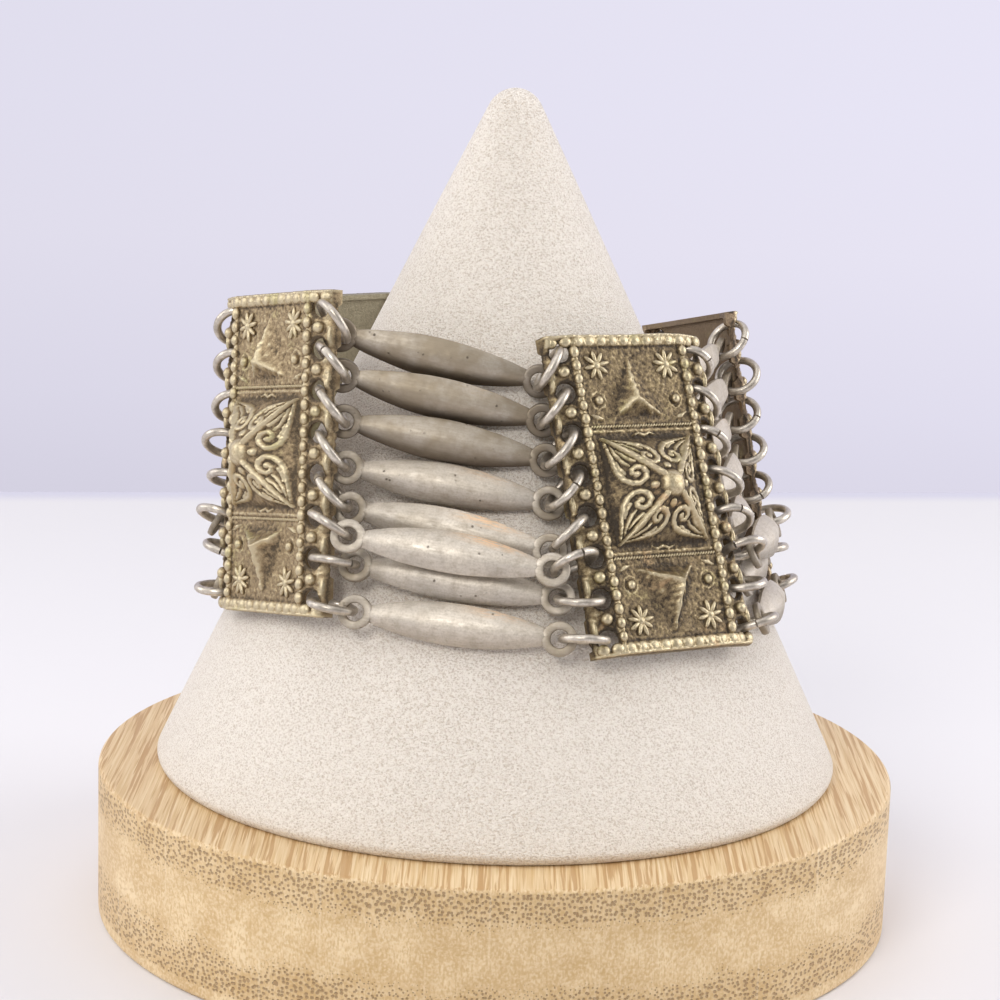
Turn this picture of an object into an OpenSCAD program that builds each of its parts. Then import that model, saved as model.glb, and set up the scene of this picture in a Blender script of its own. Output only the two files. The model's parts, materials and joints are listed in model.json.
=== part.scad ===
// Panel link bracelet hanging on a plain display cone that stands on a round wooden base.
// Millimetres. +Z is up, the front faces -Y, and the origin is the centre of the base's underside.
// Four stamped panels are joined by four rows of eight spindle bars and loose jump rings.

/* [Stand] */
// Diameter of the wooden base
base_d = 90; // [84:0.5:96]
// Height of the wooden base
base_h = 17.1; // [14:0.1:20]
// Rounding of the base's edges
base_round = 1.2; // [0.4:0.1:2.5]
// Diameter of the cone where its slope meets the base
cone_d = 78.8; // [74:0.1:84]
// Height of the cone's slope if it ran on to a sharp point
cone_h = 79.9; // [70:0.1:90]
// Radius of the cone's rounded tip
tip_r = 3.3; // [2:0.1:5]
// How far the cover is tucked in at the foot of the cone
foot_tuck = 1.4; // [0.6:0.1:2.5]
// Height of the tucked foot
foot_h = 2; // [1:0.1:4]

/* [Panels] */
// Width of a panel across the links
panel_w = 21; // [19:0.1:23]
// Height of a panel
panel_h = 34; // [32:0.1:36]
// Width of the flat middle field
field_w = 14.4; // [13:0.1:16]
// Angle by which the side wings fold back
wing_angle = 18; // [10:1:26]
// Thickness of the panel's sheet
sheet_t = 0.7; // [0.5:0.05:1]
// Depth of the turned down edges
wall_h = 1.3; // [1:0.1:2]
// Thickness of the turned down edges
wall_t = 0.6; // [0.4:0.05:0.9]
// Height of the ribbed band along the top and bottom edge
band_h = 1.1; // [0.8:0.1:1.6]
// Ribs in each band
band_ribs = 14; // [10:1:18]
// Link holes down each side
hole_n = 8; // [8:1:8]
// Distance between link holes
hole_pitch = 4.36; // [4:0.02:4.6]
// Diameter of a link hole
hole_d = 2.2; // [1.7:0.05:2.4]
// Link holes' distance from the panel's middle line, along the sheet
hole_x = 9; // [8.6:0.05:9.4]
// Width of the notch that each jump ring passes in the turned down side edge
notch_w = 2.1; // [1.4:0.1:2.6]
// How far that notch lies below its link hole
notch_dy = 0.9; // [0:0.1:1.6]

/* [Panel relief] */
// Beads in each inner bead row
bead_n = 22; // [16:1:26]
// Diameter of an inner bead
bead_d = 0.95; // [0.6:0.05:1.2]
// Diameter of the large beads between the link holes
big_bead_d = 1.3; // [0.9:0.05:1.6]
// Height of the middle boss above the field
boss_top = 4.4; // [3:0.1:5]
// Diameter of the middle boss
boss_d = 3.2; // [2:0.1:4]
// Half width of the middle mound at its foot
mound_x = 5.6; // [4.5:0.1:6.2]
// Half height of the middle mound at its foot
mound_y = 5.7; // [4.5:0.1:6.4]
// Height of the divider lines from the panel's middle
divider_y = 7.1; // [6.4:0.1:7.8]
// Height of the upper three sided pyramid
upper_pyramid_h = 1.3; // [0.6:0.1:2]
// Height of the lower three sided pyramid
lower_pyramid_h = 2.5; // [1:0.1:3.5]
// Radius of the eight rayed stars
star_r = 1.3; // [0.8:0.1:1.8]

/* [Bars and rings] */
// Distance between the two eyes of a bar
bar_l = 21.4; // [20:0.1:23]
// Width of a bar at its middle
bar_w = 4.4; // [3.6:0.1:5]
// Thickness of a bar at its middle
bar_t = 2; // [1.5:0.1:2.6]
// Outer diameter of a bar's eye
eye_d = 3.6; // [3.2:0.1:4]
// Hole of a bar's eye
eye_hole = 2.2; // [1.6:0.05:2.4]
// Thickness of a bar's eye
eye_t = 0.8; // [0.7:0.05:1.2]
// Middle diameter of a jump ring
ring_d = 4.6; // [4.4:0.05:4.8]
// Wire of a jump ring
wire_d = 0.9; // [0.8:0.02:1]
// Width of the plain clasp strip that closes the loop at the back
clasp_w = 6.2; // [5:0.1:8]
// Height of the clasp strip
clasp_h = 33.4; // [32:0.1:34]
// Thickness of the clasp strip
clasp_t = 1; // [0.8:0.05:1.5]
// Its holes' distance from its middle line
clasp_x = 1.6; // [1.4:0.05:2.4]

/* [Hidden] */
$fn = 48;
eps = 0.01;
AZ = 0; RADIUS = 1; HEIGHT = 2; YAW = 3; LEAN = 4; ROLL = 5;
// The panels' places: azimuth and radius of the middle, its height, which way the panel faces, how
// far its top leans in, and how far its top tips to its right. A least-squares fit made them, for
// the first two from points marked in the photograph, for the others and the clasp mostly from the
// spans that the rows need and the room to the cone.
//              AZ     RADIUS HEIGHT YAW    LEAN  ROLL
PANELS = [
    [-58.7,  29.7, 54.5,  -54.0,  7.0, -9.6],
    [ 38.6,  25.5, 52.7,   36.5, 23.5,  3.0],
    [130.4,  33.8, 48.6,  115.9,  5.2, 12.3],
    [-141.0, 34.4, 49.1, -138.7,  0.1, -1.3]
];
// The clasp strip's place, in the same columns.
CLASP = [-166.1, 34.7, 49, -169.6, -1, -0.4];
wing_x = field_w / 2;
wing_drop = (panel_w / 2 - wing_x) * tan(wing_angle);
hole_at = wing_x + (hole_x - wing_x) * cos(wing_angle);
hole_z = -(hole_x - wing_x) * sin(wing_angle);
band_y = panel_h / 2 - band_h / 2;

function unit(v) = v / norm(v);
function out_dir(a) = [sin(a), -cos(a), 0];
function side_dir(a) = [cos(a), sin(a), 0];

// A frame is [right, up, out, place], here a panel's from its row of the table.
function panel_frame(q) =
    let (n = out_dir(q[YAW]), t = side_dir(q[YAW]), z = [0, 0, 1],
         u1 = z * cos(q[LEAN]) - n * sin(q[LEAN]), n1 = n * cos(q[LEAN]) + z * sin(q[LEAN]),
         t1 = t * cos(q[ROLL]) - u1 * sin(q[ROLL]), u2 = u1 * cos(q[ROLL]) + t * sin(q[ROLL]))
    [t1, u2, n1, out_dir(q[AZ]) * q[RADIUS] + z * q[HEIGHT]];

module place(f) {
    multmatrix([
        [f[0][0], f[1][0], f[2][0], f[3][0]],
        [f[0][1], f[1][1], f[2][1], f[3][1]],
        [f[0][2], f[1][2], f[2][2], f[3][2]]
    ]) children();
}

// ---------------------------------------------------------------- panels

module tray_profile() {
    polygon([
        [-panel_w / 2, -wing_drop], [-wing_x, 0], [wing_x, 0], [panel_w / 2, -wing_drop],
        [panel_w / 2, -wing_drop - wall_h], [panel_w / 2 - wall_t, -wing_drop - wall_h],
        [panel_w / 2 - wall_t, -wing_drop - sheet_t + wall_t * tan(wing_angle)],
        [wing_x, -sheet_t], [-wing_x, -sheet_t],
        [-panel_w / 2 + wall_t, -wing_drop - sheet_t + wall_t * tan(wing_angle)],
        [-panel_w / 2 + wall_t, -wing_drop - wall_h], [-panel_w / 2, -wing_drop - wall_h]
    ]);
}

module rail_profile() {
    polygon([
        [-panel_w / 2, -wing_drop], [-wing_x, 0], [wing_x, 0], [panel_w / 2, -wing_drop],
        [panel_w / 2, -wing_drop - wall_h], [wing_x, -wall_h], [-wing_x, -wall_h],
        [-panel_w / 2, -wing_drop - wall_h]
    ]);
}

module along_y(l) {
    rotate([90, 0, 0]) linear_extrude(l, center = true) children();
}

module tray() {
    along_y(panel_h) tray_profile();
    for (s = [-1, 1]) translate([0, s * (panel_h / 2 - wall_t / 2), 0]) along_y(wall_t) rail_profile();
}

// Upright ribs side by side make the band; on the wings they follow the fold.
module band() {
    pitch = panel_w / band_ribs;
    for (i = [0 : band_ribs - 1]) {
        x = (i - (band_ribs - 1) / 2) * pitch;
        z = abs(x) > wing_x ? -(abs(x) - wing_x) * tan(wing_angle) : 0;
        translate([x, 0, z - 0.15]) rotate([90, 0, 0]) cylinder(d = pitch * 0.86, h = band_h, center = true);
    }
}

module bead_row(n, d, pitch, x, z) {
    for (i = [0 : n - 1]) translate([x, (i - (n - 1) / 2) * pitch, z]) sphere(d = d);
}

module star() {
    for (a = [0 : 45 : 135]) rotate([0, 0, a]) cube([2 * star_r, 0.32, 0.7], center = true);
    sphere(r = 0.5);
}

module ringed_dot() {
    sphere(d = 1.1);
    rotate_extrude() translate([0.95, 0]) circle(d = 0.36);
}

// Three sided pyramid whose flat foot points up or down.
module pyramid3(h, s) {
    polyhedron(
        points = [[-3.4, -3.2 * s, -0.3], [3.4, -3.2 * s, -0.3], [0, 3.8 * s, -0.3], [0, -1 * s, h]],
        faces = s > 0 ? [[0, 1, 2], [1, 0, 3], [2, 1, 3], [0, 2, 3]]
                      : [[2, 1, 0], [3, 0, 1], [3, 1, 2], [3, 2, 0]]);
}

module mound() {
    tx = boss_d * 0.36;
    tz = boss_top - 0.7;
    polyhedron(
        points = [
            [-mound_x, -mound_y, -0.3], [mound_x, -mound_y, -0.3], [mound_x, mound_y, -0.3], [-mound_x, mound_y, -0.3],
            [-tx, -tx, tz], [tx, -tx, tz], [tx, tx, tz], [-tx, tx, tz]
        ],
        faces = [[0, 1, 2, 3], [4, 7, 6, 5], [0, 4, 5, 1], [1, 5, 6, 2], [2, 6, 7, 3], [3, 7, 4, 0]]);
    translate([0, 0, boss_top - boss_d / 2]) sphere(d = boss_d);
}

module rod(a, b, d) {
    v = b - a;
    translate(a) rotate([0, acos(v[2] / norm(v)), atan2(v[1], v[0])]) cylinder(d = d, h = norm(v));
}

// One face of the mound: two mirrored curls with their heads near the boss, each with a stem
// and a leaf that run out to a corner beside the rib. Local X points down the slope.
module mound_face(half) {
    slope = atan((boss_top - 0.4) / (half - boss_d * 0.36));
    head = -0.65 * (half - boss_d * 0.36) / cos(slope);
    translate([half, 0, -0.3]) rotate([0, slope, 0]) for (s = [-1, 1]) {
        translate([head, s * 1.15, 0]) {
            rotate([0, 0, s > 0 ? 70 : 20]) rotate_extrude(angle = 270) translate([0.8, 0]) circle(d = 0.5);
            sphere(d = 0.9);
        }
        translate([head + 0.75, s * 0.88, 0]) sphere(d = 0.7);
        translate([head + 0.27, s * 1.9, 0]) sphere(d = 0.64);
        rod([head + 0.78, s * 0.95, 0.04], [-0.9, s * 4.3, 0.05], 0.42);
        rod([head + 0.5, s * 2.2, 0.02], [-1.7, s * 3.6, 0.05], 0.36);
    }
}

module panel() {
    difference() {
        union() {
            tray();
            for (s = [-1, 1]) {
                translate([0, s * band_y, 0]) band();
                bead_row(bead_n, bead_d, (panel_h - 2 * band_h - bead_d) / (bead_n - 0.5), s * wing_x, 0.05);
                bead_row(hole_n - 1, big_bead_d, hole_pitch, s * hole_at, hole_z + 0.15);
                translate([0, s * divider_y, 0]) rotate([0, 90, 0]) cylinder(d = 0.7, h = field_w - bead_d, center = true);
                for (y = [-1, 1]) translate([s * 4.6, y * 13.6, 0.1]) star();
                for (y = [-1, 1]) translate([s * 5.1, y * 9.8, 0.1]) ringed_dot();
            }
            translate([0, 11.2, 0]) pyramid3(upper_pyramid_h, 1);
            translate([0, -11.2, 0]) pyramid3(lower_pyramid_h, -1);
            mound();
            for (x = [-1, 1], y = [-1, 1])
                rod([x * mound_x, y * mound_y, 0], [x * boss_d * 0.4, y * boss_d * 0.4, boss_top - 0.6], 0.75);
            for (a = [0, 180]) rotate([0, 0, a]) mound_face(mound_x);
            for (a = [90, 270]) rotate([0, 0, a]) mound_face(mound_y);
        }
        for (s = [-1, 1], i = [0 : hole_n - 1]) translate([0, (i - (hole_n - 1) / 2) * hole_pitch, 0]) {
            translate([s * hole_at, 0, hole_z]) rotate([0, s * wing_angle, 0]) cylinder(d = hole_d, h = 6, center = true);
            translate([s * (panel_w / 2 - 0.1), -notch_dy, -wing_drop - sheet_t - wall_h / 2])
                cube([2.2, notch_w, wall_h], center = true);
        }
    }
}

// ---------------------------------------------------------------- links

DROP_L = 0; DROP_R = 1; OUT_L = 2; OUT_R = 3; TURN = 4; TIP_L = 5; TIP_R = 6;
// One row for each bar, top to bottom: how far its left and right ends hang below their link
// holes, how far they stand out from the straight line between the holes, the bar's turn, and how
// far its two rings tip from upright. A random search made these numbers, from starting rows set by
// eye, to keep the pieces clear of each other. They were then rounded, and 15 were changed after it.
//  DROP_L DROP_R  OUT_L  OUT_R  TURN TIP_L TIP_R
FRONT = [
    [  2.6,   3.5,  -0.6,  -0.6,   -6,  -36,    0],
    [  2.4,   3.4,  -0.4,  -0.5,   -4,  -27,    0],
    [  2.8,   3.3,  -0.3,  -0.3,   10,  -13,  -13],
    [  3.2,   3.5,  -0.2,   0.0,   17,   -8,  -16],
    [  3.0,   4.0,  -0.4,   1.8,   13,   -6,    0],
    [  0.9,   1.3,   2.6,   2.9,   28,   -6,    8],
    [  0.0,   0.4,   0.0,   0.8,   26,    0,  -20],
    [  0.2,   0.0,   1.7,   1.6,   17,    4,   -3]
];
RIGHT = [
    [  3.2,   2.9,  -1.4,  -1.0,  -12,  -10,   36],
    [  3.1,   2.5,  -1.3,  -0.5,   -1,    5,   14],
    [  3.0,   2.9,  -0.8,  -1.0,   -3,    4,   11],
    [  3.2,   2.2,   0.7,  -0.9,    5,   10,    4],
    [  3.3,   2.6,   1.3,  -0.9,   16,   -8,    7],
    [  0.9,   0.6,   2.5,   2.4,   25,   -7,   -4],
    [ -0.2,  -0.4,   0.5,   0.5,   26,   15,   -8],
    [ -0.4,  -0.5,   1.6,   1.8,   24,    0,    8]
];
REAR = [
    [  3.2,   2.6,  -1.3,  -1.2,   -6,   -6,   11],
    [  3.3,   2.9,  -1.1,  -1.4,   -7,    0,   10],
    [  3.7,   3.0,  -1.3,  -1.6,  -12,    4,    6],
    [  2.8,   2.6,   2.3,  -1.0,    3,   -8,    8],
    [  2.0,   2.6,  -1.0,  -0.6,    6,   -8,   10],
    [  1.7,   1.3,   2.3,   1.8,   26,  -11,   -7],
    [ -0.4,   0.1,  -0.2,  -0.3,   23,    0,    0],
    [  0.0,  -0.2,   1.5,   1.5,   14,   -9,  -12]
];
LEFT = [
    [  3.1,   2.5,  -1.3,  -1.3,  -12,  -27,    0],
    [  3.2,   2.7,  -1.4,  -1.3,   -2,  -13,    5],
    [  3.7,   2.7,  -1.1,  -1.2,   -4,   -8,    0],
    [  3.4,   2.5,   1.7,   0.7,   13,    4,    4],
    [  2.2,   1.5,  -1.0,  -0.4,   11,   -6,    3],
    [  1.4,   1.3,   1.8,   1.8,   30,   -3,    3],
    [ -0.3,  -0.2,  -0.2,   0.1,   28,    7,    0],
    [  0.0,  -0.6,   1.6,   1.5,   20,   -3,  -10]
];
ROWS = [FRONT, RIGHT, REAR, LEFT];
REAR_SECTION = 2;
bar_back = 0.4;
bar_body = 18.4;
side_r = 33;
dome_r = 2.6;
crown_r = 35;
ring_r = ring_d / 2;
taut = ring_d * 0.985;
slack = 0.4;

// The place of link hole i on one side of a panel, and the way its bore points.
function hole_place(q, side, i) =
    let (f = panel_frame(q), v = ((hole_n - 1) / 2 - i) * hole_pitch)
    f[3] + f[0] * side * hole_at + f[1] * v + f[2] * (hole_z - sheet_t / 2);
function hole_dir(q, side) =
    let (f = panel_frame(q)) f[2] * cos(wing_angle) + f[0] * side * sin(wing_angle);
function chord_out(a, b) = unit([b[1] - a[1], a[0] - b[0], 0]);

function clasp_place(side, i) =
    let (f = panel_frame(CLASP), v = ((hole_n - 1) / 2 - i) * hole_pitch)
    f[3] + f[0] * side * clasp_x + f[1] * v - f[2] * clasp_t / 2;

function link_a(s, i) = hole_place(PANELS[s], 1, i);
function link_b(s, i) = s == REAR_SECTION ? clasp_place(-1, i) : hole_place(PANELS[(s + 1) % 4], -1, i);
function link_b_dir(s) = s == REAR_SECTION ? panel_frame(CLASP)[2] : hole_dir(PANELS[(s + 1) % 4], -1);

function bar_frame(s, i) =
    let (row = ROWS[s][i], a0 = link_a(s, i), b0 = link_b(s, i), h = chord_out(a0, b0),
         a = a0 - [0, 0, row[DROP_L]] + h * row[OUT_L], b = b0 - [0, 0, row[DROP_R]] + h * row[OUT_R],
         x = unit(b - a), n = unit(h - x * (h * x)), y = cross(n, x), k = row[TURN])
    [x, y * cos(k) - n * sin(k), n * cos(k) + y * sin(k), (a + b) / 2];

// A ring through the points a and b stands upright to the mean of the two bores, da and db, then
// tips over. Where the points are too near or far apart, it sits off their middles by up to slack.
function ring_frame(a, da, b, db, tip) =
    let (e = unit(b - a), d = norm(b - a), m0 = unit(da + db), m1 = unit(m0 - e * (m0 * e)),
         m = m1 * cos(tip) + cross(e, m1) * sin(tip), need = d - taut,
         ka = min(max(need / 2, -slack), slack), kb = min(max(need - ka, -slack), slack),
         a1 = a + e * ka, b1 = b - e * kb, half = min(norm(b1 - a1) / 2, ring_r * 0.998))
    [e, m, cross(e, m), (a1 + b1) / 2 + m * sqrt(ring_r * ring_r - half * half)];

function eye_place(f, side) = f[3] + f[0] * side * bar_l / 2 + f[2] * (eye_t / 2 - bar_back);

function left_ring(s, i) =
    let (f = bar_frame(s, i))
    ring_frame(link_a(s, i), hole_dir(PANELS[s], 1), eye_place(f, -1), f[2], ROWS[s][i][TIP_L]);
function right_ring(s, i) =
    let (f = bar_frame(s, i))
    ring_frame(link_b(s, i), link_b_dir(s), eye_place(f, 1), f[2], ROWS[s][i][TIP_R]);
function clasp_ring(i) =
    ring_frame(clasp_place(1, i), panel_frame(CLASP)[2], hole_place(PANELS[3], -1, i), hole_dir(PANELS[3], -1), 0);

module bar_solid() {
    difference() {
        union() {
            intersection() {
                translate([0, bar_w / 2 - side_r, -bar_back]) cylinder(r = side_r, h = bar_t + 1, $fn = 200);
                translate([0, side_r - bar_w / 2, -bar_back]) cylinder(r = side_r, h = bar_t + 1, $fn = 200);
                translate([0, 0, bar_t - bar_back - dome_r]) rotate([0, 90, 0])
                    cylinder(r = dome_r, h = bar_body, center = true);
                translate([0, 0, bar_t - bar_back - crown_r]) rotate([90, 0, 0])
                    cylinder(r = crown_r, h = 2 * bar_w, center = true, $fn = 200);
            }
            for (s = [-1, 1]) translate([s * bar_l / 2, 0, -bar_back]) cylinder(d = eye_d, h = eye_t);
        }
        for (s = [-1, 1]) translate([s * bar_l / 2, 0, -1]) cylinder(d = eye_hole, h = 3);
    }
}

module ring_solid() {
    rotate_extrude() translate([ring_r, 0]) circle(d = wire_d, $fn = 24);
}

module bar(s, i) { color([0.66, 0.63, 0.57]) place(bar_frame(s, i)) bar_solid(); }
module rings_left(s) { color([0.72, 0.72, 0.71]) for (i = [0 : hole_n - 1]) place(left_ring(s, i)) ring_solid(); }
module rings_right(s) { color([0.72, 0.72, 0.71]) for (i = [0 : hole_n - 1]) place(right_ring(s, i)) ring_solid(); }

module rings_clasp() { color([0.72, 0.72, 0.71]) for (i = [0 : hole_n - 1]) place(clasp_ring(i)) ring_solid(); }

module clasp_strip() {
    color([0.66, 0.63, 0.57]) place(panel_frame(CLASP)) difference() {
        translate([0, 0, -clasp_t / 2]) cube([clasp_w, clasp_h, clasp_t], center = true);
        for (s = [-1, 1], i = [0 : hole_n - 1])
            translate([s * clasp_x, (i - (hole_n - 1) / 2) * hole_pitch, 0]) cylinder(d = hole_d, h = 4, center = true);
    }
}

// ---------------------------------------------------------------- stand

module display_cone() {
    half = atan(cone_d / 2 / cone_h);
    tip_z = cone_h - tip_r / sin(half);
    top_z = tip_z + tip_r * sin(half);
    color([0.93, 0.89, 0.83]) translate([0, 0, base_h + 0.1]) {
        cylinder(h = foot_h, r1 = cone_d / 2 - foot_tuck, r2 = cone_d / 2 * (1 - foot_h / cone_h), $fn = 96);
        translate([0, 0, foot_h])
            cylinder(h = top_z - foot_h, r1 = cone_d / 2 * (1 - foot_h / cone_h), r2 = tip_r * cos(half), $fn = 96);
        translate([0, 0, tip_z]) sphere(r = tip_r);
    }
}

module wooden_base() {
    r = base_d / 2;
    color([0.83, 0.72, 0.54]) rotate_extrude($fn = 96) {
        square([r - base_round, base_h]);
        translate([0, base_round]) square([r, base_h - 2 * base_round]);
        for (z = [base_round, base_h - base_round]) translate([r - base_round, z]) circle(r = base_round);
    }
}

// ---------------------------------------------------------------- sub-parts

module panel_front_left() { color([0.62, 0.56, 0.42]) place(panel_frame(PANELS[0])) panel(); }
module panel_front_right() { color([0.62, 0.56, 0.42]) place(panel_frame(PANELS[1])) panel(); }
module panel_rear_right() { color([0.62, 0.56, 0.42]) place(panel_frame(PANELS[2])) panel(); }
module panel_rear_left() { color([0.62, 0.56, 0.42]) place(panel_frame(PANELS[3])) panel(); }
module bar_front_1() { bar(0, 0); }
module bar_front_2() { bar(0, 1); }
module bar_front_3() { bar(0, 2); }
module bar_front_4() { bar(0, 3); }
module bar_front_5() { bar(0, 4); }
module bar_front_6() { bar(0, 5); }
module bar_front_7() { bar(0, 6); }
module bar_front_8() { bar(0, 7); }
module bar_right_1() { bar(1, 0); }
module bar_right_2() { bar(1, 1); }
module bar_right_3() { bar(1, 2); }
module bar_right_4() { bar(1, 3); }
module bar_right_5() { bar(1, 4); }
module bar_right_6() { bar(1, 5); }
module bar_right_7() { bar(1, 6); }
module bar_right_8() { bar(1, 7); }
module bar_rear_1() { bar(2, 0); }
module bar_rear_2() { bar(2, 1); }
module bar_rear_3() { bar(2, 2); }
module bar_rear_4() { bar(2, 3); }
module bar_rear_5() { bar(2, 4); }
module bar_rear_6() { bar(2, 5); }
module bar_rear_7() { bar(2, 6); }
module bar_rear_8() { bar(2, 7); }
module bar_left_1() { bar(3, 0); }
module bar_left_2() { bar(3, 1); }
module bar_left_3() { bar(3, 2); }
module bar_left_4() { bar(3, 3); }
module bar_left_5() { bar(3, 4); }
module bar_left_6() { bar(3, 5); }
module bar_left_7() { bar(3, 6); }
module bar_left_8() { bar(3, 7); }
module rings_front_left() { rings_left(0); }
module rings_front_right() { rings_right(0); }
module rings_right_left() { rings_left(1); }
module rings_right_right() { rings_right(1); }
module rings_rear_left() { rings_left(2); }
module rings_rear_right() { rings_right(2); }
module rings_left_left() { rings_left(3); }
module rings_left_right() { rings_right(3); }

panel_front_left();
panel_front_right();
panel_rear_right();
panel_rear_left();
bar_front_1();
bar_front_2();
bar_front_3();
bar_front_4();
bar_front_5();
bar_front_6();
bar_front_7();
bar_front_8();
bar_right_1();
bar_right_2();
bar_right_3();
bar_right_4();
bar_right_5();
bar_right_6();
bar_right_7();
bar_right_8();
bar_rear_1();
bar_rear_2();
bar_rear_3();
bar_rear_4();
bar_rear_5();
bar_rear_6();
bar_rear_7();
bar_rear_8();
bar_left_1();
bar_left_2();
bar_left_3();
bar_left_4();
bar_left_5();
bar_left_6();
bar_left_7();
bar_left_8();
rings_front_left();
rings_front_right();
rings_right_left();
rings_right_right();
rings_rear_left();
rings_rear_right();
rings_left_left();
rings_left_right();
rings_clasp();
clasp_strip();
display_cone();
wooden_base();
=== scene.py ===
"""Studio scene of a panel link bracelet hung on a suede cone with a bamboo base.

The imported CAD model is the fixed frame. The stamped panels, the spindle bars and the jump rings
are made again here with their full relief, each where its CAD node is measured to lie, and the
stand gets turned meshes with a suede and a bamboo finish. Lengths in the classes are millimetres,
and MM turns them into the scene's metres.
"""

import json
import logging
import math
from collections.abc import Callable, Sequence
from dataclasses import dataclass, field
from enum import Enum

import bpy
import numpy as np
from mathutils import Matrix, Vector
from mathutils.geometry import delaunay_2d_cdt

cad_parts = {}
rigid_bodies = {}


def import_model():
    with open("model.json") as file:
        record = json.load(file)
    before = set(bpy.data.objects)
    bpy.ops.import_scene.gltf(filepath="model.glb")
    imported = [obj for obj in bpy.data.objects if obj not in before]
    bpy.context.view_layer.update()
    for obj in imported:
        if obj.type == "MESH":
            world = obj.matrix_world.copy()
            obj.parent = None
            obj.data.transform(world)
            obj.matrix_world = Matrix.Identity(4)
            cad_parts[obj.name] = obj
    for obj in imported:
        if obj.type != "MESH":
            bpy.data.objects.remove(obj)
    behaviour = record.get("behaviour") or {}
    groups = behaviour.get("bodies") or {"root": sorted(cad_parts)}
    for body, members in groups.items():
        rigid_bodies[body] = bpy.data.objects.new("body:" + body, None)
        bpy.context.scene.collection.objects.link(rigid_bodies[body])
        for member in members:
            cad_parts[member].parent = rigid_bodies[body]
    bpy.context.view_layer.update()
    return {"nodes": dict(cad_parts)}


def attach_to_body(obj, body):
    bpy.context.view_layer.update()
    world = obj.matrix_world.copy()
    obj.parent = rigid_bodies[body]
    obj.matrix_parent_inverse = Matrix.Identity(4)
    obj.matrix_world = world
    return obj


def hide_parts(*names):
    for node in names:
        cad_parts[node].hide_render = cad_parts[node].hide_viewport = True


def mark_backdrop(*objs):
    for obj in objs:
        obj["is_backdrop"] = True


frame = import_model()

MM = 0.001
LOG = logging.getLogger("bracelet")

Array = np.ndarray
Triple = tuple[float, float, float]
Colour = Triple
Dot = tuple[float, float]


# Places of the links, measured on the frame


def unit(v: Array) -> Array:
    """The vector at length one."""
    return v / np.linalg.norm(v)


def towards(v: Array, way: Array) -> Array:
    """The vector, turned round if it points away from another."""
    return v if v @ way > 0 else -v


def turned(a: Array, b: Array, angle: float) -> tuple[Array, Array]:
    """Turns two square axes about the third.

    Args:
        a: First axis.
        b: Second axis.
        angle: Turn from the first towards the second, in degrees.

    Returns:
        The two turned axes.
    """
    c, s = math.cos(math.radians(angle)), math.sin(math.radians(angle))
    return a * c + b * s, b * c - a * s


def spaced(count: int, pitch: float) -> list[float]:
    """So many places at one pitch, about the middle."""
    return [(i - (count - 1) / 2) * pitch for i in range(count)]


class Side(Enum):
    """The two sides of a panel, seen from outside the loop."""

    LEFT = -1
    RIGHT = 1


@dataclass(frozen=True)
class Place:
    """Three square axes and a middle point, in millimetres."""

    right: Array
    up: Array
    out: Array
    at: Array

    def spot(self, x: float, y: float = 0.0, z: float = 0.0) -> Array:
        """Where a local point lies, in millimetres."""
        return self.at + self.right * x + self.up * y + self.out * z

    def to_scene(self, points: Array) -> Array:
        """Local millimetres as scene metres."""
        return (self.at + points @ np.array([self.right, self.up, self.out])) * MM


def cad_triangles(node: str) -> Array:
    """A CAD node's triangles, each as three corners in millimetres; the nodes sit at the origin."""
    mesh = frame["nodes"][node].data
    mesh.calc_loop_triangles()
    points = np.empty(3 * len(mesh.vertices), np.float32)
    mesh.vertices.foreach_get("co", points)
    corners = np.empty(3 * len(mesh.loop_triangles), np.int32)
    mesh.loop_triangles.foreach_get("vertices", corners)
    return points.astype(float).reshape(-1, 3)[corners].reshape(-1, 3, 3) / MM


def normals(triangles: Array) -> Array:
    """The triangles' normals, each twice its triangle's area long."""
    return np.cross(triangles[:, 1] - triangles[:, 0], triangles[:, 2] - triangles[:, 0])


def middle_and_axes(triangles: Array) -> tuple[Array, Array]:
    """The middle of a surface, and the axes along which it spreads, the shortest first."""
    area = np.linalg.norm(normals(triangles), axis=1)
    middle = np.average(triangles.mean(axis=1), axis=0, weights=area)
    spokes = triangles - middle
    sums = spokes.sum(axis=1)
    spread = np.einsum("t,tia,tib->ab", area, spokes, spokes) + np.einsum("t,ta,tb->ab", area, sums, sums)
    return middle, np.linalg.eigh(spread)[1].T


def loose_parts(triangles: Array) -> list[Array]:
    """Splits a surface into the parts that hang together by their corners."""
    _, corners = np.unique(triangles.reshape(-1, 3).round(4), axis=0, return_inverse=True)
    corners = corners.reshape(-1, 3)
    label = np.arange(corners.max() + 1)
    while (label[corners] != label[corners[:, :1]]).any():
        np.minimum.at(label, corners, label[corners].min(axis=1, keepdims=True))
        label = label[label]
    part = label[corners[:, 0]]
    return [triangles[part == p] for p in np.unique(part)]


def flat_back(node: str, flush: float = 1e-4, tries: int = 20) -> Array:
    """The flat back of a link: its largest flat face that looks at the cone's axis.

    Args:
        node: The link's CAD node.
        flush: How far a triangle of the face may stand off its plane, in millimetres.
        tries: How many of the largest triangles are tried as the plane of the face.

    Returns:
        The triangles of the face.
    """
    triangles = cad_triangles(node)
    ways = normals(triangles)
    area = np.linalg.norm(ways, axis=1)
    inward = (ways[:, :2] * triangles[:, 0, :2]).sum(axis=1) < 0
    faces = []
    for k in np.argsort(-area * inward)[:tries]:
        off = np.abs((triangles - triangles[k, 0]) @ unit(ways[k])).max(axis=1)
        faces.append(inward & (off < flush))
    return triangles[max(faces, key=lambda face: area[face].sum())]


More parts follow.
